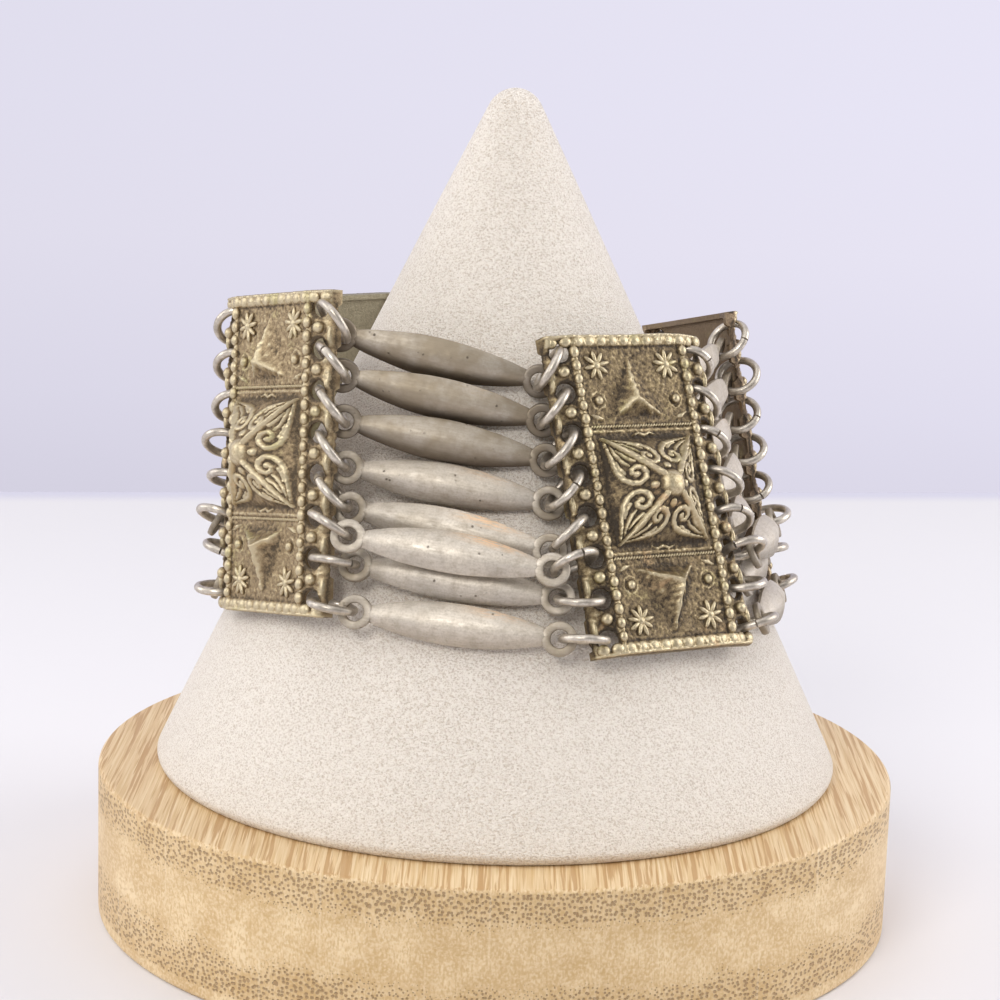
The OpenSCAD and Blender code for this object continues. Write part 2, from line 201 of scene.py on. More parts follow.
def link_place(node: str, depth: float, upright: bool) -> Place:
    """Where the frame has a link, measured on its flat back.

    Args:
        node: The link's CAD node.
        depth: How far the back lies behind the link's own zero level.
        upright: Whether the link's long side stands up, as a panel's does, or runs along the loop.

    Returns:
        The link's axes, and its middle at its zero level.
    """
    middle, (out, _, long) = middle_and_axes(flat_back(node))
    away, sky = middle * (1.0, 1.0, 0.0), np.array([0.0, 0.0, 1.0])
    out = towards(out, away)
    if upright:
        up = towards(long, sky)
        right = np.cross(up, out)
    else:
        right = towards(long, np.cross(sky, away))
        up = np.cross(out, right)
    return Place(right, up, out, middle + out * depth)


def ring_places(node: str, starts: Sequence[Array], ends: Sequence[Array],
                bulges: Sequence[Array]) -> tuple[Place, ...]:
    """Where the frame has a column of jump rings, the top ring first.

    Args:
        node: The column's CAD node, where each ring is a loose part.
        starts: The middle of the hole that each ring passes first.
        ends: The middle of the hole that it passes next.
        bulges: The way that each ring stands off the two holes.

    Returns:
        The rings' middles and axes, each ring's own axis last.
    """
    rings = [middle_and_axes(part) for part in loose_parts(cad_triangles(node))]
    rings.sort(key=lambda ring: -ring[0][2])
    places = []
    for (middle, (axis, _, _)), start, end, bulge in zip(rings, starts, ends, bulges, strict=True):
        along = unit(end - start)
        axis = towards(axis, np.cross(along, bulge))
        right = unit(along - axis * (along @ axis))
        places.append(Place(right, np.cross(axis, right), axis, middle))
    return tuple(places)


@dataclass(frozen=True)
class LinkHoles:
    """The column of link holes down each side of a panel or of the clasp strip."""

    count: int = 8
    pitch: float = 4.36
    across: float = 8.912
    depth: float = -0.906
    radius: float = 1.1

    def height(self, index: int) -> float:
        """Height of a hole above the middle, counted from the top."""
        return ((self.count - 1) / 2 - index) * self.pitch


PANEL_HOLES = LinkHoles()
CLASP_HOLES = LinkHoles(across=1.6, depth=-0.5)

PANEL_SHEET = 0.7
CLASP_THICKNESS = 1.0
BAR_BACK = 0.4
BAR_LENGTH = 21.4


@dataclass(frozen=True)
class Seat:
    """A panel or the clasp strip where the frame has it."""

    name: str
    place: Place
    holes: LinkHoles

    @classmethod
    def measured(cls, name: str, thickness: float = PANEL_SHEET, holes: LinkHoles = PANEL_HOLES) -> "Seat":
        """Finds the seat on its CAD node."""
        return cls(name, link_place(name, thickness, upright=True), holes)

    def column(self, side: Side) -> list[Array]:
        """The middles of the link holes down one side, from the top."""
        h = self.holes
        return [self.place.spot(side.value * h.across, h.height(i), h.depth) for i in range(h.count)]


@dataclass(frozen=True)
class Section:
    """The bars and rings between two neighbours in the loop, from the top."""

    name: str
    bars: tuple[Place, ...]
    rings: dict[Side, tuple[Place, ...]]

    @classmethod
    def between(cls, name: str, start: Seat, end: Seat) -> "Section":
        """Finds a section on its CAD nodes."""
        bars = tuple(link_place(f"bar_{name}_{i + 1}", BAR_BACK, upright=False)
                     for i in range(start.holes.count))
        rings = {}
        for side, seat, holes in ((Side.LEFT, start, Side.RIGHT), (Side.RIGHT, end, Side.LEFT)):
            eyes = [bar.spot(side.value * BAR_LENGTH / 2) for bar in bars]
            bulges = [seat.place.out + bar.out for bar in bars]
            rings[side] = ring_places(f"rings_{name}_{side.name.lower()}", seat.column(holes), eyes, bulges)
        return cls(name, bars, rings)


FRONT_LEFT = Seat.measured("panel_front_left")
FRONT_RIGHT = Seat.measured("panel_front_right")
REAR_RIGHT = Seat.measured("panel_rear_right")
REAR_LEFT = Seat.measured("panel_rear_left")
CLASP = Seat.measured("clasp_strip", CLASP_THICKNESS, CLASP_HOLES)

SECTIONS = (
    Section.between("front", FRONT_LEFT, FRONT_RIGHT),
    Section.between("right", FRONT_RIGHT, REAR_RIGHT),
    Section.between("rear", REAR_RIGHT, CLASP),
    Section.between("left", REAR_LEFT, FRONT_LEFT),
)
CLASP_RINGS = ring_places("rings_clasp", CLASP.column(Side.RIGHT), REAR_LEFT.column(Side.LEFT),
                          [CLASP.place.out + REAR_LEFT.place.out] * CLASP.holes.count)


# Node trees


class Graph:
    """A node tree that is wired one node at a time."""

    def __init__(self, tree: bpy.types.NodeTree) -> None:
        """Takes the tree to fill."""
        self.tree = tree

    def node(self, kind: str, inputs: dict[str | int, object] | None = None,
             **settings: object) -> bpy.types.Node:
        """Adds a node.

        Args:
            kind: Blender's name of the node type.
            inputs: A value or another node's output socket for each input, by name or number.
            **settings: Properties of the node.

        Returns:
            The new node.
        """
        node = self.tree.nodes.new(kind)
        for key, value in settings.items():
            setattr(node, key, value)
        for key, value in (inputs or {}).items():
            socket = node.inputs[key]
            if isinstance(value, bpy.types.NodeSocket):
                self.tree.links.new(value, socket)
            else:
                socket.default_value = value
        return node

    def math(self, operation: str, *values: object) -> bpy.types.NodeSocket:
        """A Math node's result."""
        return self.node("ShaderNodeMath", dict(enumerate(values)), operation=operation).outputs[0]

    def fit(self, value: object, low: float, high: float, to_low: float = 0.0,
            to_high: float = 1.0, smooth: bool = False) -> bpy.types.NodeSocket:
        """A number moved from one range to another and kept within it."""
        return self.node("ShaderNodeMapRange", {
            0: value, 1: low, 2: high, 3: to_low, 4: to_high,
        }, interpolation_type="SMOOTHSTEP" if smooth else "LINEAR").outputs[0]

    def ramp(self, value: object, *stops: tuple[float, Colour]) -> bpy.types.NodeSocket:
        """Colours along a number."""
        node = self.node("ShaderNodeValToRGB", {"Fac": value})
        band = node.color_ramp
        band.elements[0].position, band.elements[0].color = stops[0][0], (*stops[0][1], 1)
        band.elements[1].position, band.elements[1].color = stops[-1][0], (*stops[-1][1], 1)
        for place, colour in stops[1:-1]:
            band.elements.new(place).color = (*colour, 1)
        return node.outputs["Color"]


class Shader(Graph):
    """A material under construction, with patterns measured in millimetres."""

    def __init__(self, name: str, attribute: str | None = None) -> None:
        """Starts an empty material.

        Args:
            name: The material's name.
            attribute: A vector attribute in millimetres to read patterns from, else the object's
                own coordinates.
        """
        self.material = bpy.data.materials.new(name)
        self.material.use_nodes = True
        super().__init__(self.material.node_tree)
        self.tree.nodes.clear()
        if attribute:
            self.coords = self.node("ShaderNodeAttribute", attribute_name=attribute).outputs["Vector"]
        else:
            place = self.node("ShaderNodeTexCoord").outputs["Object"]
            self.coords = self.node("ShaderNodeMapping", {
                "Vector": place, "Scale": (1000, 1000, 1000)}).outputs[0]

    def stretched(self, scale: Triple, turn: Triple = (0, 0, 0)) -> bpy.types.NodeSocket:
        """The coordinates scaled and turned, for a pattern with a grain."""
        return self.node("ShaderNodeMapping", {
            "Vector": self.coords, "Scale": scale, "Rotation": turn}).outputs[0]

    def noise(self, scale: float, detail: float = 3.0, coords: bpy.types.NodeSocket | None = None,
              distortion: float = 0.0) -> bpy.types.NodeSocket:
        """Noise with so many features per millimetre."""
        return self.node("ShaderNodeTexNoise", {
            "Vector": coords or self.coords, "Scale": scale, "Detail": detail, "Distortion": distortion,
        }).outputs[0]

    def cells(self, scale: float, coords: bpy.types.NodeSocket | None = None,
              output: str = "Distance") -> bpy.types.NodeSocket:
        """Voronoi cells with so many per millimetre."""
        return self.node("ShaderNodeTexVoronoi", {
            "Vector": coords or self.coords, "Scale": scale}).outputs[output]

    def value(self, name: str) -> bpy.types.NodeSocket:
        """A number attribute of the mesh."""
        return self.node("ShaderNodeAttribute", attribute_name=name).outputs["Fac"]

    def mix(self, factor: object, a: object, b: object, blend: str = "MIX") -> bpy.types.NodeSocket:
        """Two colours mixed."""
        a = (*a, 1) if isinstance(a, tuple) else a
        b = (*b, 1) if isinstance(b, tuple) else b
        return self.node("ShaderNodeMix", {0: factor, 6: a, 7: b},
                         data_type="RGBA", blend_type=blend).outputs[2]

    def bump(self, height: object, depth: float, strength: float = 1.0,
             under: bpy.types.NodeSocket | None = None) -> bpy.types.NodeSocket:
        """A bumped normal, with its depth in millimetres."""
        inputs = {"Height": height, "Distance": depth * MM, "Strength": strength}
        if under:
            inputs["Normal"] = under
        return self.node("ShaderNodeBump", inputs).outputs[0]

    def finish(self, **inputs: object) -> bpy.types.Material:
        """Ends the tree in a Principled shader.

        Args:
            **inputs: Its inputs, with underscores for spaces.

        Returns:
            The finished material.
        """
        named = {}
        for key, value in inputs.items():
            colour = isinstance(value, tuple) and len(value) == 3
            named[key.replace("_", " ")] = (*value, 1) if colour else value
        shader = self.node("ShaderNodeBsdfPrincipled", named)
        self.node("ShaderNodeOutputMaterial", {"Surface": shader.outputs[0]})
        return self.material


class Sprout(Graph):
    """A Geometry Nodes tree with named inputs, and the run that turns it into a plain mesh."""

    def __init__(self, name: str, sizes: dict[str, tuple[str, object]]) -> None:
        """Starts a tree.

        Args:
            name: The tree's name.
            sizes: Each named input's socket type and its value.
        """
        super().__init__(bpy.data.node_groups.new(name, "GeometryNodeTree"))
        face = self.tree.interface
        face.new_socket(name="Geometry", in_out="INPUT", socket_type="NodeSocketGeometry")
        for label, (kind, value) in sizes.items():
            socket = face.new_socket(name=label, in_out="INPUT", socket_type="NodeSocket" + kind)
            if value is not None:
                socket.default_value = value
        face.new_socket(name="Geometry", in_out="OUTPUT", socket_type="NodeSocketGeometry")
        self.given = self.node("NodeGroupInput").outputs

    def named(self, name: str, kind: str = "FLOAT_VECTOR") -> bpy.types.NodeSocket:
        """A named attribute of the geometry."""
        return self.node("GeometryNodeInputNamedAttribute", {"Name": name},
                         data_type=kind).outputs["Attribute"]

    def facing(self) -> bpy.types.NodeSocket:
        """The rotation that the points carry in their axis_x and axis_z attributes."""
        return self.node("FunctionNodeAxesToRotation", {
            "Primary Axis": self.named("axis_z"), "Secondary Axis": self.named("axis_x"),
        }, primary_axis="Z", secondary_axis="X").outputs[0]

    def stored(self, geometry: bpy.types.NodeSocket, name: str, value: object) -> bpy.types.NodeSocket:
        """The geometry with a number stored on its points."""
        return self.node("GeometryNodeStoreNamedAttribute", {
            "Geometry": geometry, "Name": name, "Value": value}, data_type="FLOAT", domain="POINT").outputs[0]

    def set_on(self, points: bpy.types.NodeSocket, instance: bpy.types.NodeSocket,
               rotation: bpy.types.NodeSocket, **more: object) -> bpy.types.NodeSocket:
        """A real copy of a form on each point."""
        hung = self.node("GeometryNodeInstanceOnPoints", {
            "Points": points, "Instance": instance, "Rotation": rotation, **more}).outputs[0]
        return self.node("GeometryNodeRealizeInstances", {0: hung}).outputs[0]

    def uneven(self, geometry: bpy.types.NodeSocket, scale: float,
               size: bpy.types.NodeSocket) -> bpy.types.NodeSocket:
        """The geometry with its points moved by a noise of so many features per metre."""
        noise = self.node("ShaderNodeTexNoise", {"Scale": scale, "Detail": 2.0}).outputs[1]
        centred = self.node("ShaderNodeVectorMath", {0: noise, 1: (0.5, 0.5, 0.5)},
                            operation="SUBTRACT").outputs[0]
        scaled = self.node("ShaderNodeVectorMath", {0: centred, 3: size}, operation="SCALE").outputs[0]
        return self.node("GeometryNodeSetPosition", {"Geometry": geometry, "Offset": scaled}).outputs[0]

    def end(self, geometry: bpy.types.NodeSocket) -> None:
        """Ends the tree in plain geometry with its material."""
        smooth = self.node("GeometryNodeSetShadeSmooth", {"Geometry": geometry})
        dressed = self.node("GeometryNodeSetMaterial", {
            "Geometry": smooth.outputs[0], "Material": self.given["Material"]})
        self.node("NodeGroupOutput", {"Geometry": dressed.outputs[0]})

    def grow(self, seed: bpy.types.Object, name: str, values: dict[str, object]) -> bpy.types.Object:
        """Runs the tree on an object.

        Args:
            seed: The object that carries the points or the first mesh; it is used up.
            name: The new object's name.
            values: The named inputs that differ from the tree's own.

        Returns:
            A new object with a plain mesh, at the origin.
        """
        modifier = seed.modifiers.new(self.tree.name, "NODES")
        modifier.node_group = self.tree
        for item in self.tree.interface.items_tree:
            if item.item_type == "SOCKET" and item.in_out == "INPUT" and item.name in values:
                modifier[item.identifier] = values[item.name]
        depsgraph = bpy.context.evaluated_depsgraph_get()
        mesh = bpy.data.meshes.new_from_object(
            seed.evaluated_get(depsgraph), preserve_all_data_layers=True, depsgraph=depsgraph)
        seed.modifiers.remove(modifier)
        discard(seed)
        mesh.name = name
        return show(name, mesh)


def show(name: str, mesh: bpy.types.Mesh) -> bpy.types.Object:
    """A mesh as an object in the scene."""
    obj = bpy.data.objects.new(name, mesh)
    bpy.context.scene.collection.objects.link(obj)
    return obj


def discard(obj: bpy.types.Object) -> None:
    """Removes an object and its mesh."""
    mesh = obj.data
    bpy.data.objects.remove(obj)
    bpy.data.meshes.remove(mesh)


def attach(mesh: bpy.types.Mesh, name: str, values: Array) -> None:
    """Stores numbers or vectors on a mesh's vertices.

    Args:
        mesh: The mesh.
        name: The attribute's name.
        values: One number or one vector for each vertex.
    """
    vector = values.ndim == 2
    layer = mesh.attributes.new(name, "FLOAT_VECTOR" if vector else "FLOAT", "POINT")
    layer.data.foreach_set("vector" if vector else "value", values.astype(np.float32).ravel())


def point_cloud(name: str, places: Sequence[Place], **values: Sequence[float]) -> bpy.types.Object:
    """Loose points that carry a place and further attributes for instances.

    Args:
        name: The object's name.
        places: One place for each point.
        **values: Further attributes, one number or vector for each point.

    Returns:
        The object with the points.
    """
    mesh = bpy.data.meshes.new(name)
    mesh.from_pydata([tuple(p.at * MM) for p in places], [], [])
    attach(mesh, "axis_x", np.array([p.right for p in places]))
    attach(mesh, "axis_z", np.array([p.out for p in places]))
    for key, numbers in values.items():
        attach(mesh, key, np.array(numbers, float))
    return show(name, mesh)


# Finishes


@dataclass(frozen=True)
class TarnishedNickel:
    """Stamped nickel silver, dark in its recesses and rubbed pale on the raised work, with painted shade in
    the creases round set-on parts and holes.
    """

    grime: Colour = (0.053, 0.038, 0.023)
    shade: Colour = (0.185, 0.136, 0.079)
    body: Colour = (0.325, 0.252, 0.142)
    rubbed: Colour = (0.595, 0.508, 0.336)
    olive: Colour = (0.45, 0.41, 0.19)
    olive_share: float = 0.40
    rust: Colour = (0.56, 0.36, 0.20)
    rust_share: float = 0.36
    wear_shift: float = 0.0

    def material(self, name: str) -> bpy.types.Material:
        """Builds the finish; the attribute of wear and painted crease shade is 0 in a recess or shaded crease
        and 1 on a rubbed top.
        """
        s = Shader(name)
        blotch, mottle, grain = s.noise(0.45, 4), s.noise(2.6, 5), s.noise(6.5, 4)
        # The attribute also carries painted shade in the creases round beads and holes, which darkens through
        # the ramp below.
        wear = s.math("ADD", s.value("wear"), self.wear_shift)
        uneven = s.math("ADD", s.fit(blotch, 0.3, 0.7, -0.08, 0.08),
                        s.fit(mottle, 0.3, 0.7, -0.15, 0.15))
        uneven = s.math("ADD", uneven, s.fit(grain, 0.3, 0.7, -0.16, 0.16))
        wear = s.math("ADD", wear, s.math("MULTIPLY", uneven, s.fit(s.value("plain"), 0, 1, 1.0, 0.35)))
        colour = s.ramp(wear, (0.05, self.grime), (0.30, self.shade), (0.55, self.body), (0.92, self.rubbed))
        patches = s.fit(s.noise(0.22, 3, distortion=0.6), 1 - self.rust_share, 1.1 - self.rust_share, 0, 0.55)
        rusty = s.math("MULTIPLY", patches, s.fit(wear, 0.18, 0.5))
        colour = s.mix(rusty, colour, self.rust)
        green = s.fit(s.noise(0.27, 3), 1 - self.olive_share, 1.12 - self.olive_share, 0, 0.5)
        colour = s.mix(s.math("MULTIPLY", green, s.fit(wear, 0.25, 0.6)), colour, self.olive)
        punched = s.math("MULTIPLY", s.fit(s.cells(4.6), 0.0, 0.5, 1, 0, smooth=True),
                         s.fit(wear, 0.2, 0.6, 1, 0))
        normal = s.bump(punched, 0.05, 0.7)
        normal = s.bump(s.math("ADD", mottle, s.math("MULTIPLY", grain, 0.6)), 0.05, 0.8, normal)
        return s.finish(
            Base_Color=colour, Metallic=s.fit(wear, 0.0, 0.45, 0.35, 0.95),
            Roughness=s.math("ADD", s.fit(wear, 0.1, 0.8, 0.66, 0.42), s.fit(grain, 0.3, 0.7, -0.05, 0.08)),
            Normal=normal)


class Pattern(Enum):
    """What a bar's pattern follows."""

    OBJECT = None
    BAR = "local"


@dataclass(frozen=True)
class WornSilver:
    """Dull silver grey of the bars, with a warm tarnish, fine scratches and pits, and painted shade along
    their lower side and on their eyes.
    """

    pale: Colour = (0.76, 0.695, 0.60)
    olive: Colour = (0.35, 0.292, 0.212)
    film: Colour = (0.62, 0.57, 0.50)
    copper: Colour = (0.95, 0.66, 0.40)
    pit: Colour = (0.12, 0.10, 0.07)
    # Colour of the painted shade on the bars' lower side and eyes.
    under: Colour = (0.13, 0.10, 0.07)
    pattern: Pattern = Pattern.BAR

    def material(self, name: str) -> bpy.types.Material:
        """Builds the finish; tone is 0 on a pale bar and 1 on an olive one."""
        s = Shader(name, self.pattern.value)
        shift = s.node("ShaderNodeAttribute", attribute_name="shift").outputs["Vector"]
        s.coords = s.node("ShaderNodeVectorMath", {0: s.coords, 1: shift}).outputs[0]
        cloud, mottle = s.noise(0.16, 4), s.noise(1.1, 5)
        brushed = s.noise(1.0, 4, s.stretched((0.5, 5.5, 5.5)))
        tone = s.math("ADD", s.value("tone"), s.fit(cloud, 0.35, 0.65, -0.25, 0.25))
        tone = s.math("ADD", tone, s.math("MULTIPLY", s.value("eye"), 0.62))
        colour = s.mix(tone, self.pale, self.olive)
        fine = s.noise(4.5, 4)
        film = s.math("MULTIPLY", s.fit(s.noise(0.3, 5), 0.44, 0.62),
                      s.fit(s.value("tone"), 0.0, 1.0, 0.6, 0.48))
        colour = s.mix(film, colour, self.film)
        colour = s.mix(s.fit(brushed, 0.3, 0.75, 0.0, 0.22), colour, self.olive)
        colour = s.mix(s.fit(fine, 0.45, 0.68, 0.0, 0.28), colour, self.olive)
        colour = s.mix(s.fit(mottle, 0.50, 0.66, 0.0, 0.22), colour, self.olive)
        streak = s.math("MULTIPLY", s.value("copper"), s.fit(brushed, 0.36, 0.6))
        colour = s.mix(streak, colour, self.copper)
        # Painted shade on the lower side of each bar and on its eyes, stronger on the olive bars.
        shade = s.math("MULTIPLY", s.value("under"), s.fit(s.value("tone"), 0.0, 0.7, 0.22, 0.92))
        colour = s.mix(shade, colour, self.under)
        dots = s.fit(s.cells(0.9), 0.05, 0.16, 1, 0, smooth=True)
        pits = s.math("MULTIPLY", dots, s.fit(s.noise(0.5, 2), 0.52, 0.62))
        colour = s.mix(s.math("MULTIPLY", pits, 0.75), colour, self.pit)
        rough = s.math("ADD", s.fit(mottle, 0.3, 0.7, 0.50, 0.64), s.fit(brushed, 0.3, 0.7, -0.05, 0.07))
        normal = s.bump(brushed, 0.015, 0.4)
        normal = s.bump(mottle, 0.05, 0.6, normal)
        normal = s.bump(s.noise(0.35, 3), 0.25, 0.5, normal)
        normal = s.bump(pits, -0.10, 0.8, normal)
        return s.finish(Base_Color=colour, Metallic=0.8, Roughness=rough, Normal=normal)


@dataclass(frozen=True)
class DrawnWire:
    """Bright steel wire of the jump rings, rubbed and a little hammered."""

    bright: Colour = (0.70, 0.64, 0.55)
    dull: Colour = (0.35, 0.305, 0.25)

    def material(self, name: str) -> bpy.types.Material:
        """Builds the finish."""
        s = Shader(name)
        cloud, mottle, fine = s.noise(0.35, 3), s.noise(1.6, 4), s.noise(6.0, 3)
        colour = s.mix(s.fit(mottle, 0.36, 0.72, 0, 0.8), self.bright, self.dull)
        colour = s.mix(s.fit(cloud, 0.45, 0.7, 0, 0.5), colour, self.dull)
        colour = s.mix(s.fit(fine, 0.50, 0.68, 0, 0.35), colour, self.dull)
        normal = s.bump(mottle, 0.05, 0.6)
        normal = s.bump(fine, 0.01, 0.5, normal)
        return s.finish(Base_Color=colour, Metallic=0.9,
                        Roughness=s.fit(fine, 0.3, 0.7, 0.32, 0.46), Normal=normal)


@dataclass(frozen=True)
class Suede:
    """Cream suede with a fine brushed nap."""

    cream: Colour = (0.97, 0.90, 0.805)
    deep: Colour = (0.66, 0.56, 0.455)

    def material(self, name: str) -> bpy.types.Material:
        """Builds the finish."""
        s = Shader(name)
        grain = s.noise(3.7, 5, s.stretched((1.0, 1.0, 1.7), (0.0, 0.5, 0.0)), 0.5)
        fibre = s.noise(6.5, 4, s.stretched((1.0, 1.0, 0.45), (0.0, -0.6, 0.0)), 0.8)
        cloud = s.noise(0.035, 3)
        nap = s.math("ADD", s.math("MULTIPLY", grain, 0.6), s.math("MULTIPLY", fibre, 0.4))
        colour = s.mix(s.fit(nap, 0.39, 0.53, 1.0, 0.0), self.cream, self.deep)
        colour = s.mix(s.fit(cloud, 0.3, 0.7, 0, 0.2), colour, self.cream)
        normal = s.bump(nap, 0.43, 1.0)
        return s.finish(Base_Color=colour, Roughness=0.92, Sheen_Weight=0.35, Sheen_Roughness=0.45,
                        Specular_IOR_Level=0.25, Normal=normal)


@dataclass(frozen=True)
class Bamboo:
    """Laminated bamboo, its grain front to back, with pores where the side cuts it across."""

    pale: Colour = (0.83, 0.64, 0.385)
    gold: Colour = (0.59, 0.395, 0.18)
    pore: Colour = (0.30, 0.18, 0.085)
    bark: Colour = (0.46, 0.26, 0.10)
    joint: Colour = (0.88, 0.73, 0.50)
    honey: Colour = (0.70, 0.50, 0.27)
    strip: float = 17.0
    strip_offset: float = 0.37
    ply: float = 8.4
    top: float = 17.1
    low: float = 1.1
    sway: float = 2.5

    def material(self, name: str) -> bpy.types.Material:
        """Builds the finish."""
        s = Shader(name)
        split = s.node("ShaderNodeSeparateXYZ", {0: s.coords}).outputs
        depth = s.math("SUBTRACT", self.top, split[2])
        course = s.math("GREATER_THAN", depth, self.ply)
        offset = s.math("MULTIPLY", course, self.strip * self.strip_offset)
        lane = s.math("DIVIDE", s.math("ADD", split[0], offset), self.strip)
        chip = s.node("ShaderNodeTexWhiteNoise", {0: s.node("ShaderNodeCombineXYZ", {
            0: s.math("FLOOR", lane), 2: course}).outputs[0]}, noise_dimensions="3D").outputs[0]
        fibres = s.stretched((1.0, 0.02, 1.0))
        raised = s.math("MULTIPLY", s.math("SUBTRACT", split[2], self.low), 0.8)
        rind = s.math("DIVIDE", s.math("MINIMUM", depth, raised), self.ply)
        inner = s.math("ADD", rind, s.fit(s.noise(0.22, 2, fibres), 0.3, 0.7, -0.09, 0.09))
        dense = s.math("MULTIPLY", s.fit(inner, 0.30, 0.66, 1.0, 0.0, smooth=True), s.fit(rind, 0.02, 0.06))
        sway = s.math("ADD", split[0], s.fit(s.noise(0.014, 1), 0.3, 0.7, -self.sway, self.sway))
        cut = s.node("ShaderNodeCombineXYZ", {0: sway, 1: split[2]}).outputs[0]
        spots = s.node("ShaderNodeTexVoronoi", {
            "Vector": cut, "Scale": 2.0, "Randomness": 0.82}, voronoi_dimensions="2D").outputs["Distance"]
        size = s.math("ADD", s.math("MULTIPLY", dense, 0.37),
                      s.fit(s.noise(0.6, 2, fibres), 0.3, 0.7, -0.08, 0.04))
        pores = s.math("MULTIPLY", s.math("GREATER_THAN", size, 0.05),
                       s.fit(s.math("DIVIDE", spots, size), 0.55, 1.05, 1, 0, smooth=True))
        rim = s.fit(split[2], self.top - 0.5, self.top - 0.1)
        stripe = s.math("MULTIPLY", rim, s.fit(s.noise(3.0, 3, fibres), 0.525, 0.575))
        silk, speck = s.noise(3.2, 5, fibres, 0.3), s.noise(5.0, 4, s.stretched((1.0, 0.02, 0.42)))
        broad = s.noise(0.3, 3, fibres)
        colour = s.mix(s.fit(broad, 0.35, 0.65), self.pale, self.gold)
        colour = s.mix(s.fit(chip, 0, 1, 0.0, 0.45), colour, self.gold)
        colour = s.mix(s.math("MULTIPLY", rim, 0.5), colour, self.honey)
        colour = s.mix(s.fit(silk, 0.38, 0.62, 0.0, 0.5), colour, self.joint)
        colour = s.mix(s.fit(speck, 0.38, 0.52, 0.7, 0.0), colour, self.gold)
        colour = s.mix(s.math("MULTIPLY", dense, 0.38), colour, self.gold)
        colour = s.mix(s.math("MULTIPLY", stripe, 0.75), colour, self.bark)
        colour = s.mix(s.math("MULTIPLY", pores, 0.66), colour, self.pore)
        seam = s.fit(s.math("ABSOLUTE", s.math("SUBTRACT", s.math("FRACT", lane), 0.5)), 0.490, 0.499)
        colour = s.mix(s.math("MULTIPLY", seam, 0.3), colour, self.joint)
        normal = s.bump(pores, -0.14, 0.9)
        normal = s.bump(s.math("ADD", silk, speck), 0.05, 0.5, normal)
        return s.finish(Base_Color=colour, Roughness=s.fit(silk, 0.3, 0.7, 0.42, 0.58),
                        Specular_IOR_Level=0.4, Normal=normal)


@dataclass(frozen=True)
class PaleStage:
    """The studio's pale table, a little darker along its far edge."""

    table: Colour = (0.77, 0.755, 0.77)
    far: Colour = (0.65, 0.64, 0.735)
    edge: float = 235.0
    skew: float = 0.153

    def material(self, name: str) -> bpy.types.Material:
        """Builds the finish."""
        s = Shader(name)
        split = s.node("ShaderNodeSeparateXYZ", {0: s.coords}).outputs
        along = s.math("SUBTRACT", split[1], s.math("MULTIPLY", split[0], self.skew))
        colour = s.mix(s.fit(along, self.edge - 11, self.edge - 1, smooth=True), self.table, self.far)
        return s.finish(Base_Color=colour, Roughness=0.85, Specular_IOR_Level=0.2)


# Stamped panels


